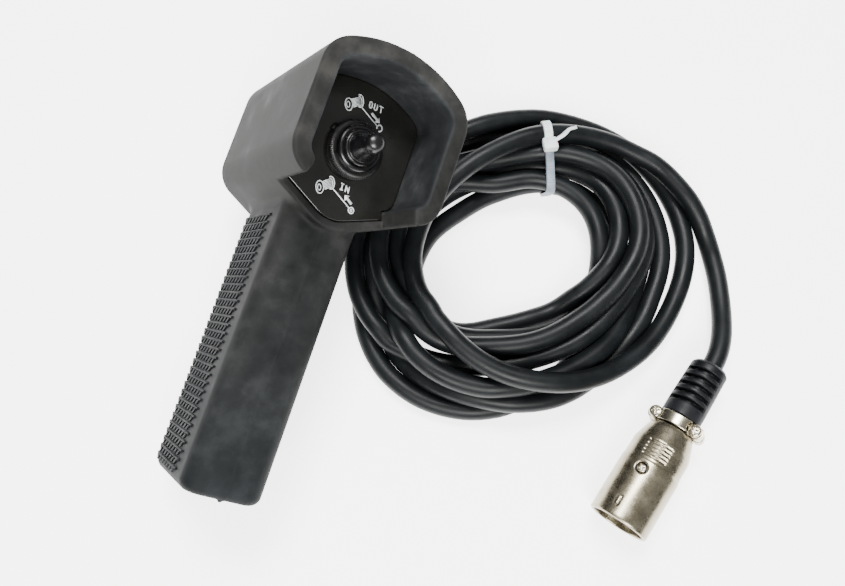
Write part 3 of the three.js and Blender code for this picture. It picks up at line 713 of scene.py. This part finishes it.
def grip_field(x, y, z):
    half = GRIP_HALF_WIDTH
    middle = (GRIP_BACK + GRIP_FRONT) / 2
    radius = np.where(z > middle, GRIP_FRONT_RADIUS, GRIP_BACK_RADIUS)
    qx = abs(x) - half + radius
    qz = abs(z - middle) - (GRIP_FRONT - GRIP_BACK) / 2 + radius
    section = (np.minimum(np.maximum(qx, qz), 0)
               + np.hypot(np.maximum(qx, 0), np.maximum(qz, 0)) - radius)
    grip = rounded_prism(section, y, GRIP_END, GRIP_TOP, 3)
    seam = 0.2 * np.exp(-(((x - 0.4) / 0.35) ** 2)) * (z > middle)
    nub = np.sqrt(x * x + ((y - GRIP_END) / 0.9) ** 2 + (z - GRIP_FRONT + 3) ** 2) - 0.8
    return np.minimum(grip - seam, nub)


def housing_field(x, y, z):
    head = outline_field(x, y, head_outline())
    body = rounded_prism(head, z, 0, RIM_Z, 1.1)
    body = smooth_min(body, grip_field(x, y, z), 1.7)
    opening = smooth_min(head + WALL, below_hood_walls(x, y), 2.0)
    body = smooth_max(body, -np.maximum(opening, PLATE_FACE - z), 1.3)
    seam = 0.12 * np.exp(-((x / 0.4) ** 2)) * (z > RIM_Z - 1) * (y > 0)
    body = body - seam
    seat = np.maximum(plate_outline(x, y), PLATE_BACK - GAP - z)
    cavity = np.maximum(head + LEDGE, CAVITY_FLOOR - z)
    gx, gy = x - EXIT[0], y - EXIT[1]
    gland = np.minimum(cylinder(gx, gy, z, 5.3, -3, CAVITY_FLOOR + 1),
                       cylinder(gx, gy, z, 6.9, -3, 1.8))
    hollow = np.minimum(np.minimum(seat, np.maximum(cavity, z - PLATE_BACK)), gland)
    return np.maximum(body, -hollow)


def mark_housing(mesh):
    """Per-point shares that the material reads: how far down the grip (its darker tone partly
    painted shade), inside the hood, and the painted shade between the grip's ribs.
    """
    count = len(mesh.vertices)
    points = np.empty(count * 3)
    mesh.vertices.foreach_get("co", points)
    x, y, z = points.reshape(-1, 3).T
    head = outline_field(x, y, head_outline())
    inside = step_between(-WALL + 1.2, -WALL + 0.1, head) * step_between(42, 44, z)
    # how far down the grip; the darker tone this selects is partly painted shade
    grip = step_between(-18, -34, y)
    # painted shade over the rib zone, where the slots between the teeth lie in shade
    painted_rib_shade = 0.8 * rib_zone(y, z)
    for name, values in (("inside", inside), ("grip", grip), ("painted_rib_shade", painted_rib_shade)):
        mark(mesh, name, values)


HOUSING_LOW = (-HEAD_HALF_WIDTH, GRIP_END - 1, 0)
HOUSING_HIGH = (HEAD_HALF_WIDTH, HEAD_TOP, RIM_Z)
housing_mesh = net_mesh("rubber_housing_skin", housing_field, HOUSING_LOW, HOUSING_HIGH, 0.4,
                        flat=0.4)
mark_housing(housing_mesh)
housing = finish_mesh("rubber_housing_skin", housing_mesh, HANDSET, "housing_rubber",
                      ["rubber_housing"])
even_shading(housing)

RIB_CREST = [(-0.42, -0.3), (-0.3, 0.45), (-0.05, RIB_HEIGHT), (0.22, 0.62), (0.5, -0.3)]
RIB_STEPS = 56
RIB_END = (GRIP_HALF_WIDTH - GRIP_BACK_RADIUS + GRIP_BACK_RADIUS * math.pi / 2
           + RIB_REACH - GRIP_BACK - GRIP_BACK_RADIUS)


def on_grip(run, y, lift):
    """The point that is run round the grip from the middle of its back, and lift out of it."""
    side = math.copysign(1, run)
    flat = GRIP_HALF_WIDTH - GRIP_BACK_RADIUS
    turn = min(max(abs(run) - flat, 0) / GRIP_BACK_RADIUS, math.pi / 2)
    past = max(abs(run) - flat - GRIP_BACK_RADIUS * math.pi / 2, 0)
    reach = GRIP_BACK_RADIUS + lift
    x = min(abs(run), flat) + reach * math.sin(turn)
    z = GRIP_BACK + GRIP_BACK_RADIUS - reach * math.cos(turn) + past
    return side * x, y, z


def add_crest(solid, top):
    rings = []
    for i in range(RIB_STEPS + 1):
        run = RIB_END * (2 * i / RIB_STEPS - 1)
        rings.append([solid.verts.new(on_grip(run, top - down, lift)) for down, lift in RIB_CREST])
    join_rings(solid, rings)


def add_tooth(solid, top, start, side):
    """A slanted tooth below a crest, falling away from it."""
    corners = []
    for down, lift, back in ((0.3, 0.6, 0), (1.85, 0.32, TOOTH_SLANT)):
        for run in (start, start + TOOTH_WIDTH):
            for out in (-0.3, lift):
                corners.append(solid.verts.new(on_grip(side * (run - back), top - down, out)))
    for a, b, c, d in ((0, 1, 3, 2), (4, 6, 7, 5), (0, 4, 5, 1), (2, 3, 7, 6), (1, 5, 7, 3),
                       (0, 2, 6, 4)):
        solid.faces.new((corners[a], corners[b], corners[c], corners[d]))


def make_ribs():
    solid = bmesh.new()
    for row in range(RIB_COUNT):
        top = RIB_FIRST - row * RIB_PITCH
        add_crest(solid, top)
        start = TOOTH_SLANT + 0.3
        while start + TOOTH_WIDTH < RIB_END:
            add_tooth(solid, top, start, -1)
            add_tooth(solid, top, start, 1)
            start += TOOTH_PITCH
    bmesh.ops.recalc_face_normals(solid, faces=solid.faces)
    mesh = mesh_of("grip_ribs", solid)
    # the ribs take the grip's darker tone, which is partly painted shade
    mark(mesh, "grip", np.ones(len(mesh.vertices)))
    ribs = finish_mesh("grip_ribs", mesh, HANDSET, "housing_rubber")
    edges = ribs.modifiers.new("edges", "BEVEL")
    edges.width = 0.1 * MM
    edges.segments = 1
    edges.limit_method = "ANGLE"
    edges.harden_normals = True


make_ribs()


# ---- Face plate and its symbols --------------------------------------------------------

def plate_field(x, y, z):
    plate = rounded_prism(plate_outline(x, y) + GAP, z, PLATE_BACK, PLATE_FACE, 0.12)
    return np.maximum(plate, 6.15 - np.hypot(x, y))


plate_mesh = net_mesh("face_plate_skin", plate_field, (-21, -24, PLATE_BACK),
                      (21, 22, PLATE_FACE), 0.2, flat=0.4)
even_shading(finish_mesh("face_plate_skin", plate_mesh, HANDSET, "plate_plastic",
                         ["face_plate"]))

INK_LOW = PLATE_FACE - 0.02
INK_HIGH = PLATE_FACE + 0.05
RIM_TILT = 21
LETTER_WEIGHT = 0.34
LETTER_SLANT = -0.1
LETTER_GAP = 0.82
LETTERS = {
    "I": (0.9, [[(0.45, 0), (0.45, 1.75)], [(0.1, 0), (0.8, 0)], [(0.1, 1.75), (0.8, 1.75)]]),
    "N": (1.0, [[(0, 0), (0, 1.75)], [(0, 1.6), (1.0, 0.15)], [(1.0, 0), (1.0, 1.75)]]),
    "O": (0.85, [[(0.25, 0), (0.6, 0), (0.85, 0.3), (0.85, 1.45), (0.6, 1.75), (0.25, 1.75),
                  (0, 1.45), (0, 0.3), (0.25, 0)]]),
    "U": (0.85, [[(0, 1.75), (0, 0.3), (0.25, 0), (0.6, 0), (0.85, 0.3), (0.85, 1.75)]]),
    "T": (1.1, [[(0.55, 0), (0.55, 1.75)], [(0, 1.75), (1.1, 1.75)]]),
}


class Ink:
    """Thin printed shapes on the plate."""

    def __init__(self):
        self.solid = bmesh.new()

    def patch(self, points):
        low = [self.solid.verts.new((x, y, INK_LOW)) for x, y in points]
        high = [self.solid.verts.new((x, y, INK_HIGH)) for x, y in points]
        self.solid.faces.new(reversed(low))
        self.solid.faces.new(high)
        for i in range(len(points)):
            j = (i + 1) % len(points)
            self.solid.faces.new((low[i], low[j], high[j], high[i]))

    def stroke(self, start, end, width):
        start, end = Vector(start), Vector(end)
        side = (end - start).orthogonal().normalized() * width / 2
        self.patch([start + side, end + side, end - side, start - side][::-1])

    def curve(self, centre, radii, start, end, width, tilt=0, steps=24):
        turn = Matrix.Rotation(math.radians(tilt), 2)
        points = []
        for i in range(steps + 1):
            angle = math.radians(start + (end - start) * i / steps)
            points.append(Vector(centre) + turn @ Vector((radii[0] * math.cos(angle),
                                                         radii[1] * math.sin(angle))))
        for first, second in zip(points, points[1:]):
            self.stroke(first, second, width)

    def arrow(self, start, end, width):
        start, end = Vector(start), Vector(end)
        along = (end - start).normalized()
        side = Vector((-along.y, along.x))
        neck = end - along * width * 1.1
        self.patch([start + side * width * 0.33, start - side * width * 0.33,
                    neck - side * width * 0.33, neck - side * width,
                    end, neck + side * width, neck + side * width * 0.33])

    def drum(self, left, right):
        """A winding drum seen from the side, with an open rim at each end."""
        left, right = Vector(left), Vector(right)
        along = (right - left).normalized()
        side = Vector((-along.y, along.x))
        self.curve(left, (1.15, 1.8), 0, 360, 0.27, RIM_TILT)
        self.curve(left - along * 0.2, (0.5, 0.85), 0, 360, 0.24, RIM_TILT)
        self.curve(right, (1.1, 1.8), -115, 115, 0.3, RIM_TILT)
        self.curve(right - along * 0.35, (0.9, 1.45), -100, 100, 0.2, RIM_TILT)
        for i in range(-3, 4):
            offset = side * i * 0.37
            self.stroke(left + along * 1.15 + offset, right + along * 0.35 + offset, 0.19)

    def word(self, letters, start, tilt):
        """Block capitals drawn with strokes, from the lower left corner."""
        turn = Matrix.Rotation(math.radians(tilt), 2)
        place_at = Vector(start)
        for letter in letters:
            width, strokes = LETTERS[letter]
            for stroke in strokes:
                points = [place_at + turn @ Vector((x + LETTER_SLANT * y, y)) for x, y in stroke]
                for first, second in zip(points, points[1:]):
                    along = (second - first).normalized() * LETTER_WEIGHT * 0.42
                    self.stroke(first - along, second + along, LETTER_WEIGHT)
            place_at += turn @ Vector((width + LETTER_GAP, 0))

    def finish(self):
        bmesh.ops.recalc_face_normals(self.solid, faces=self.solid.faces)
        finish_mesh("plate_symbols", mesh_of("plate_symbols", self.solid), HANDSET, "ink")


def draw_symbols():
    ink = Ink()
    ink.drum((-6.0, 11.9), (-3.1, 14.4))
    ink.stroke((-2.3, 13.1), (4.4, 10.2), 0.32)
    ink.curve((5.4, 9.9), (0.85, 0.95), 210, -90, 0.4)
    ink.word("OUT", (0.15, 14.15), 3)
    ink.arrow((1.6, 12.9), (4.9, 11.3), 1.15)
    ink.drum((-5.7, -14.0), (-3.0, -11.5))
    ink.stroke((-2.1, -12.7), (4.7, -15.9), 0.32)
    ink.curve((5.6, -16.35), (0.85, 0.85), 0, 360, 0.34)
    ink.curve((5.6, -16.35), (0.3, 0.3), 0, 360, 0.3)
    ink.word("IN", (0.2, -12.0), 0)
    ink.arrow((5.1, -14.6), (2.15, -13.0), 1.15)
    ink.finish()


draw_symbols()


# ---- Toggle switch ---------------------------------------------------------------------

WASHER_HOLE = 6.15


def knurl(teeth, depth, start, end):
    def wave(angle, r, z):
        if not start <= z <= end or r < 7.9:
            return r
        return r - depth * (0.5 - 0.5 * math.cos(teeth * angle)) ** 2
    return wave


def ring_outline(inner, outer, low, high):
    return [(inner, low), (outer, low), (outer, high), (inner, high)]


keyed = turned_mesh("keyed_washer_skin", ring_outline(WASHER_HOLE, 8.5, 45.6, 46.2), 96)
tab = bmesh.new()
tab.from_mesh(keyed)
bmesh.ops.create_cube(tab, size=1, matrix=Matrix.Rotation(math.radians(154), 4, "Z")
                      @ Matrix.Translation((8.6, 0, 45.9)) @ Matrix.Diagonal((1.6, 1.9, 0.5, 1)))
tab.to_mesh(keyed)
tab.free()
finish_mesh("keyed_washer_skin", keyed, HANDSET, "dark_metal", ["keyed_washer"])

nut = turned_mesh("knurled_nut_skin", [
    (WASHER_HOLE, 46.5), (8.55, 46.5), (8.75, 46.7), (8.75, 47.4), (8.3, 48.1), (7.5, 48.4),
    (WASHER_HOLE, 48.4),
], 504, knurl(84, 0.45, 46.6, 48.2), 0.1)
finish_mesh("knurled_nut_skin", nut, HANDSET, "dark_metal", ["knurled_nut"])

collar = turned_mesh("boot_collar_skin", [
    (WASHER_HOLE, 48.7), (6.9, 48.7), (7.0, 49.6), (6.75, 50.5), (6.1, 50.95), (5.5, 50.8),
    (5.4, 50.6), (WASHER_HOLE, 50.6),
], 96, radius=0.4)
finish_mesh("boot_collar_skin", collar, HANDSET, "boot_rubber", ["boot_collar"])

BOOT_OUTSIDE = [
    (5.35, 50.6), (5.35, 51.2), (5.1, 51.7), (4.7, 51.85), (4.35, 51.7), (4.15, 51.9),
    (4.05, 52.5), (3.85, 53.4), (3.55, 54.5), (3.25, 55.5), (2.95, 56.4), (2.75, 57.1),
    (2.72, 57.7), (2.85, 58.4), (2.95, 59.2), (2.85, 60.1), (2.5, 60.9), (1.9, 61.45),
    (1.1, 61.8), (0, 61.9),
]
BOOT_INSIDE = [
    (0, 61.45), (1, 61.3), (1.9, 60.6), (2.3, 59.2), (2.15, 57.4), (2.5, 56), (2.9, 54.5),
    (3.4, 53), (3.7, 51.6), (3.9, 50.6),
]
boot = turned_mesh("rubber_boot_skin", BOOT_OUTSIDE + BOOT_INSIDE, 64, radius=0.3)
boot = finish_mesh("rubber_boot_skin", boot, HANDSET, "boot_rubber", ["rubber_boot"], body=None)
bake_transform(boot)

relief = turned_mesh("strain_relief_skin", [
    (0, -6.5), (3.7, -6.5), (4.0, -6.2), (4.0, -5.4), (3.7, -5.2), (3.7, -4.6), (4.2, -4.4),
    (4.3, -3.6), (3.9, -3.4), (3.9, -2.8), (4.4, -2.6), (4.5, -1.4), (4.6, -0.1), (6.6, 0.1),
    (6.6, 1.5), (5, 1.5), (5, 7.3), (6, 7.3), (5.2, 8.4), (0, 8.4),
], 64)
relief.transform(Matrix.Translation((*EXIT, 0)))
finish_mesh("strain_relief_skin", relief, HANDSET, "cord_jacket", ["strain_relief"])


# ---- Connector -------------------------------------------------------------------------

# Its own frame: z along it from the open end, y up, x = y cross z
CONNECTOR_PLACE = Vector((115.3, -36.9, 9.5))
AXIS = Vector((math.cos(CONNECTOR_TURN), math.sin(CONNECTOR_TURN), 0))
UP = Vector((0, 0, 1))
CONNECTOR_ROLL = math.radians(26)
CONNECTOR = (ROW @ Matrix.Translation(CONNECTOR_PLACE)
             @ Matrix((UP.cross(AXIS), UP, AXIS)).transposed().to_4x4()
             @ Matrix.Rotation(-CONNECTOR_ROLL, 4, "Z"))
SHELL_RADIUS = 9.4
SHELL_BORE = 8.1
SHELL_LENGTH = 33.9
BOOT_NECK = 4.9
SADDLE_FROM = 34.2
SADDLE_TO = 38.2
SADDLE_MIDDLE = (SADDLE_FROM + SADDLE_TO) / 2
BOOT_START = 38.5
CONNECTOR_LENGTH = 58.5
CLAMP_SCREW_X = 6.5
SCREW_Z = 17

SHELL_OUTLINE = [
    (SHELL_BORE, 0), (9.1, 0), (9.35, 0.3), (SHELL_RADIUS, 0.9), (SHELL_RADIUS, 19.6),
    (9.2, 20.3), (9.15, 21), (9.1, 26.4), (8.85, 27.6), (8.1, 30.2), (7.4, 32.5),
    (6.95, 33.5), (6.6, SHELL_LENGTH), (5.3, SHELL_LENGTH), (5.3, 32.6), (SHELL_BORE, 26.5),
]


def shell_field(x, y, z):
    around = np.hypot(x, y)
    shell = outline_field(around, z, SHELL_OUTLINE)
    angle = np.arctan2(x, y)
    patch = step_between(0.46, 0.4, abs(angle + 0.175)) + step_between(0.46, 0.4, abs(angle - 2.97))
    grooves = (0.5 - 0.5 * np.cos(2 * math.pi * (z - 21) / 1.2)) * (z > 21) * (z < 27)
    shell = np.where(around > 8.6, shell + grooves * (0.07 + 0.33 * patch), shell)
    hole = np.maximum(np.hypot(x, z - SCREW_Z) - 1.8, 4 - y)
    mark_x, mark_z = abs(x - 1.1), abs(z - 5)
    notch = np.maximum(np.maximum(mark_x - 0.75, mark_z - 1.7), 9.15 - y)
    tongue = np.maximum(np.maximum(mark_x - 0.4, mark_z - 1.35), 8.9 - y)
    return np.maximum(smooth_max(shell, -hole, 0.5), -np.maximum(notch, -tongue))


shell_mesh = net_mesh("connector_shell_skin", shell_field, (-9.5, -9.5, 0), (9.5, 9.5, SHELL_LENGTH),
                      0.25)
shell = finish_mesh("connector_shell_skin", shell_mesh, CONNECTOR, "shell_nickel",
                    ["connector_shell"])


def screw_mesh(name, radius, head, shank_radius, shank):
    """A cross-slotted pan-head screw standing on z = 0."""
    def field(x, y, z):
        around = np.hypot(x, y)
        dome = np.sqrt(around ** 2 + (z - head + 2.4 * radius) ** 2) - 2.4 * radius
        cap = smooth_max(np.maximum(dome, -z), around - radius, 0.5)
        cross = np.minimum(np.maximum(abs(x) - 0.24, abs(y) - radius * 0.6),
                           np.maximum(abs(y) - 0.24, abs(x) - radius * 0.6))
        cap = smooth_max(cap, -np.maximum(cross, head * 0.35 - z), 0.12)
        body = np.maximum(around - shank_radius, np.maximum(z - 0.3, -shank - z))
        return np.minimum(cap, body)
    return net_mesh(name, field, (-radius, -radius, -shank), (radius, radius, head), 0.1)


screw = screw_mesh("shell_screw_skin", 1.5, 0.95, 0.9, 3.2)
screw.transform(Matrix.Translation((0, 8.35, SCREW_Z)) @ Matrix.Rotation(math.radians(-90), 4, "X")
                @ Matrix.Rotation(math.radians(20), 4, "Z"))
screw = finish_mesh("shell_screw_skin", screw, CONNECTOR, "nickel_plate", ["shell_screw"])

for name, x, turn in (("clamp_screw_left", CLAMP_SCREW_X, 35),
                      ("clamp_screw_right", -CLAMP_SCREW_X, 10)):
    mesh = screw_mesh(name + "_skin", 2.1, 1.9, 0.9, 6)
    mesh.transform(Matrix.Translation((x, 3.25, SADDLE_MIDDLE))
                   @ Matrix.Rotation(math.radians(-90), 4, "X")
                   @ Matrix.Rotation(math.radians(turn), 4, "Z"))
    finish_mesh(name + "_skin", mesh, CONNECTOR, "nickel_plate", [name])


def saddle_field(x, y, z):
    around = np.hypot(x, y)
    along = abs(z - SADDLE_MIDDLE)
    width = (SADDLE_TO - SADDLE_FROM) / 2
    arch = np.maximum(around - 7.05, along - width)
    ear = np.maximum(np.hypot(abs(x) - CLAMP_SCREW_X, z - SADDLE_MIDDLE) - 2.6, y - 3.0)
    body = smooth_max(smooth_min(arch, ear, 1.2), 0.2 - y, 0.3)
    body = smooth_max(body, along - width, 0.5)
    bore = around - (BOOT_NECK + GAP)
    screw_hole = np.hypot(abs(x) - CLAMP_SCREW_X, z - SADDLE_MIDDLE) - 1.05
    seat = np.maximum(np.hypot(abs(x) - CLAMP_SCREW_X, z - SADDLE_MIDDLE) - 2.35, 3.0 - y)
    body = smooth_max(body, -seat, 0.25)
    return np.maximum(np.maximum(body, -bore), -screw_hole)


for name, turn in (("clamp_saddle_upper", 0), ("clamp_saddle_lower", 180)):
    mesh = net_mesh(name + "_skin", saddle_field, (-9.2, 0, SADDLE_FROM), (9.2, 7.1, SADDLE_TO),
                    0.16)
    mesh.transform(Matrix.Rotation(math.radians(turn), 4, "Z"))
    finish_mesh(name + "_skin", mesh, CONNECTOR, "nickel_plate", [name])

BOOT_OUTLINE = [
    (0, 29), (5.7, 29), (5.7, 30.4), (BOOT_NECK, 30.6), (BOOT_NECK, BOOT_START),
    (6.3, BOOT_START), (6.35, 42.8), (5.95, CONNECTOR_LENGTH - 1.0), (5.2, CONNECTOR_LENGTH),
    (0, CONNECTOR_LENGTH), (-6, CONNECTOR_LENGTH), (-6, 29),
]


def boot_field(x, y, z):
    around = np.hypot(x, y)
    body = outline_field(around, z, BOOT_OUTLINE)
    angle = np.arctan2(abs(x), abs(y))
    slots = np.full(body.shape, 9.0)
    for i in range(5):
        across = abs(z - 43.4 - i * 2.8) - 0.72
        slots = np.minimum(slots, np.maximum(np.maximum(across, 4.2 - around),
                                             (angle - 1.12) * 6))
    return smooth_max(body, -slots, 0.3)


boot_mesh = net_mesh("connector_boot_skin", boot_field, (-6.6, -6.6, 29), (6.6, 6.6, 58.5), 0.2)
connector_boot = finish_mesh("connector_boot_skin", boot_mesh, CONNECTOR, "boot_plastic",
                             ["connector_boot"])


# ---- Cable tie -------------------------------------------------------------------------

TIE_OUTER = (58.5, 78.5)              # the tie's plane runs through these two places
TIE_INNER = (66.9, 60.7)
STRAP_WIDTH = 3.0
STRAP_THICK = 1.1
STRAP_TOOTH = 0.9
TIE_HOLDS = 46.3                      # strands further than this from the centre lie outside it
TIE_HEAD = -6.8                       # the head's place along the plane
TAIL_END = (9.6, -0.6)                # the loose end's place: across the plane, and along it


def strands_in_plane(origin, along):
    """Where the strands that the tie holds cross its plane, as (distance along it, height)."""
    across = np.array((-along[1], along[0]))
    flat = cord_line[:, :2] - origin
    side = flat @ across
    run = flat @ along
    found = []
    for i in np.where((side[:-1] > 0) != (side[1:] > 0))[0]:
        share = side[i] / (side[i] - side[i + 1])
        x, y, height = cord_line[i] + share * (cord_line[i + 1] - cord_line[i])
        reach = math.hypot(x - COIL_CENTRE[0], y - COIL_CENTRE[1])
        if y > COIL_CENTRE[1] and reach < TIE_HOLDS:
            found.append((run[i] + share * (run[i + 1] - run[i]), height))
    return found


def hull(points):
    """Convex hull, anticlockwise."""
    points = sorted(points)

    def half(sequence):
        chain = []
        for p in sequence:
            while len(chain) > 1 and ((chain[-1][0] - chain[-2][0]) * (p[1] - chain[-2][1])
                                      <= (chain[-1][1] - chain[-2][1]) * (p[0] - chain[-2][0])):
                chain.pop()
            chain.append(p)
        return chain[:-1]

    return half(points) + half(points[::-1])


def strap_path(strands):
    """The strap's line round the strands it holds, at even steps."""
    reach = CORD_DIAMETER / 2 + STRAP_THICK / 2 + 0.05
    circle = [(reach * math.cos(2 * math.pi * i / 40), reach * math.sin(2 * math.pi * i / 40))
              for i in range(40)]
    cloud = [(d + cx, max(h + cy, STRAP_THICK / 2)) for d, h in strands for cx, cy in circle]
    loop = np.array(hull(cloud))
    loop = np.vstack([loop, loop[:1]])
    return evenly(np.c_[loop, np.zeros(len(loop))], STRAP_TOOTH / 2)[:-1, :2]


def sweep_strap(solid, path, sides, outs, closed):
    """A flat strap along the path, with fine teeth on its outer face."""
    rings = []
    for i, (point, side, out) in enumerate(zip(path, sides, outs)):
        outer = STRAP_THICK / 2 - (0.16 if i % 2 else 0)
        half = STRAP_WIDTH / 2
        corners = ((-half, -STRAP_THICK / 2), (half, -STRAP_THICK / 2),
                   (half * 0.9, outer), (-half * 0.9, outer))
        rings.append([solid.verts.new(point + side * a + out * b) for a, b in corners])
    join_rings(solid, rings, closed)


def unit(vectors):
    return vectors / np.linalg.norm(vectors, axis=-1)[..., None]


def make_tie():
    """In the tie's own frame: x across its plane, y along it outwards, z up."""
    outer, inner = np.array(TIE_OUTER), np.array(TIE_INNER)
    along = unit(outer - inner)
    path = strap_path(strands_in_plane(outer, along))
    step = np.roll(path, -1, 0) - np.roll(path, 1, 0)
    nothing = np.zeros(len(path))
    solid = bmesh.new()
    sweep_strap(solid, np.c_[nothing, path], np.tile((1.0, 0, 0), (len(path), 1)),
                unit(np.c_[nothing, step[:, 1], -step[:, 0]]), closed=True)

    near_head = path[abs(path[:, 0] - TIE_HEAD) < 1]
    top = near_head[:, 1].max()
    head = Matrix.Translation((0, TIE_HEAD, top + 1.1)) @ Matrix.Rotation(-0.2, 4, "X")
    made = bmesh.ops.create_cube(solid, size=1, matrix=head @ Matrix.Diagonal((4.9, 4.7, 2.9, 1)))
    bmesh.ops.bevel(solid, geom=list({e for v in made["verts"] for e in v.link_edges}),
                    offset=0.8, segments=3, affect="EDGES", profile=0.5)
    start = np.array((0.6, TIE_HEAD + 0.8, top + 1.4))
    end = np.array((*TAIL_END, top - 1.2))
    tail = smooth_through([start, start + (3.6, 1.4, 0.7), end - (2.6, 1.2, -1.3), end], 6)
    forward = unit(np.gradient(tail, axis=0))
    level = unit(np.cross(forward, (0, 0, 1)))
    sides = unit(0.42 * level + 0.9 * np.cross(level, forward))
    sweep_strap(solid, tail, sides, np.cross(sides, forward), closed=False)
    bmesh.ops.recalc_face_normals(solid, faces=solid.faces)
    mesh = mesh_of("cable_tie_skin", solid)
    in_strap = np.array([abs(v.co.x) <= STRAP_WIDTH / 2 + 0.01 and v.co.z < top + 0.1
                         for v in mesh.vertices])
    mark(mesh, "thin", in_strap)
    across = Vector((along[1], -along[0], 0))
    turn = Matrix((across, Vector((*along, 0)), Vector((0, 0, 1)))).transposed().to_4x4()
    place_matrix = ROW @ Matrix.Translation((*TIE_OUTER, 0)) @ turn
    piece = finish_mesh("cable_tie_skin", mesh, place_matrix, "nylon", ["cable_tie"])
    edges = piece.modifiers.new("edges", "BEVEL")
    edges.width = 0.12 * MM
    edges.segments = 2
    edges.limit_method = "ANGLE"
    return piece


tie = make_tie()


# ---- Floor and light -------------------------------------------------------------------

def make_floor():
    solid = bmesh.new()
    bmesh.ops.create_grid(solid, x_segments=1, y_segments=1, size=2)
    mesh = mesh_of("floor", solid)
    mesh.materials.append(grained("floor", (0.88, 0.88, 0.88), (0.93, 0.93, 0.93), (0.5, 0.65),
                                  patch=12, grain=700, bumps=0.02,
                                  Emission_Color=(1, 1, 1, 1), Emission_Strength=3.0))
    floor = bpy.data.objects.new("floor", mesh)
    floor.location.z = -0.00005
    bpy.context.collection.objects.link(floor)


def area_light(name, place_at, target, size, power, colour=(1, 1, 1)):
    data = bpy.data.lights.new(name, "AREA")
    data.shape = "RECTANGLE"
    data.size, data.size_y = size
    data.energy = power
    data.color = colour
    light = bpy.data.objects.new(name, data)
    light.location = place_at
    light.rotation_euler = (Vector(target) - Vector(place_at)).to_track_quat("-Z", "Y").to_euler()
    bpy.context.collection.objects.link(light)


def make_world(strength):
    """A dim room, lighter overhead than at the horizon."""
    world = bpy.data.worlds.new("studio")
    world.use_nodes = True
    tree = world.node_tree
    coordinates = tree.nodes.new("ShaderNodeTexCoord")
    split = tree.nodes.new("ShaderNodeSeparateXYZ")
    tree.links.new(coordinates.outputs["Generated"], split.inputs["Vector"])
    colour = ramp(tree, split.outputs["Z"], (0.02, (0.2, 0.2, 0.21)), (0.3, (0.7, 0.72, 0.76)),
                  (0.75, (1, 1, 1)))
    background = tree.nodes["Background"]
    tree.links.new(colour, background.inputs["Color"])
    background.inputs["Strength"].default_value = strength
    bpy.context.scene.world = world


make_floor()
make_world(0.42)
MIDDLE = (0.04, 0.02, 0.02)
area_light("key", (-0.12, 0.35, 0.85), MIDDLE, (0.4, 0.3), 17)
area_light("front", (0.22, -0.55, 0.68), MIDDLE, (0.55, 0.3), 17, (1, 0.99, 0.97))
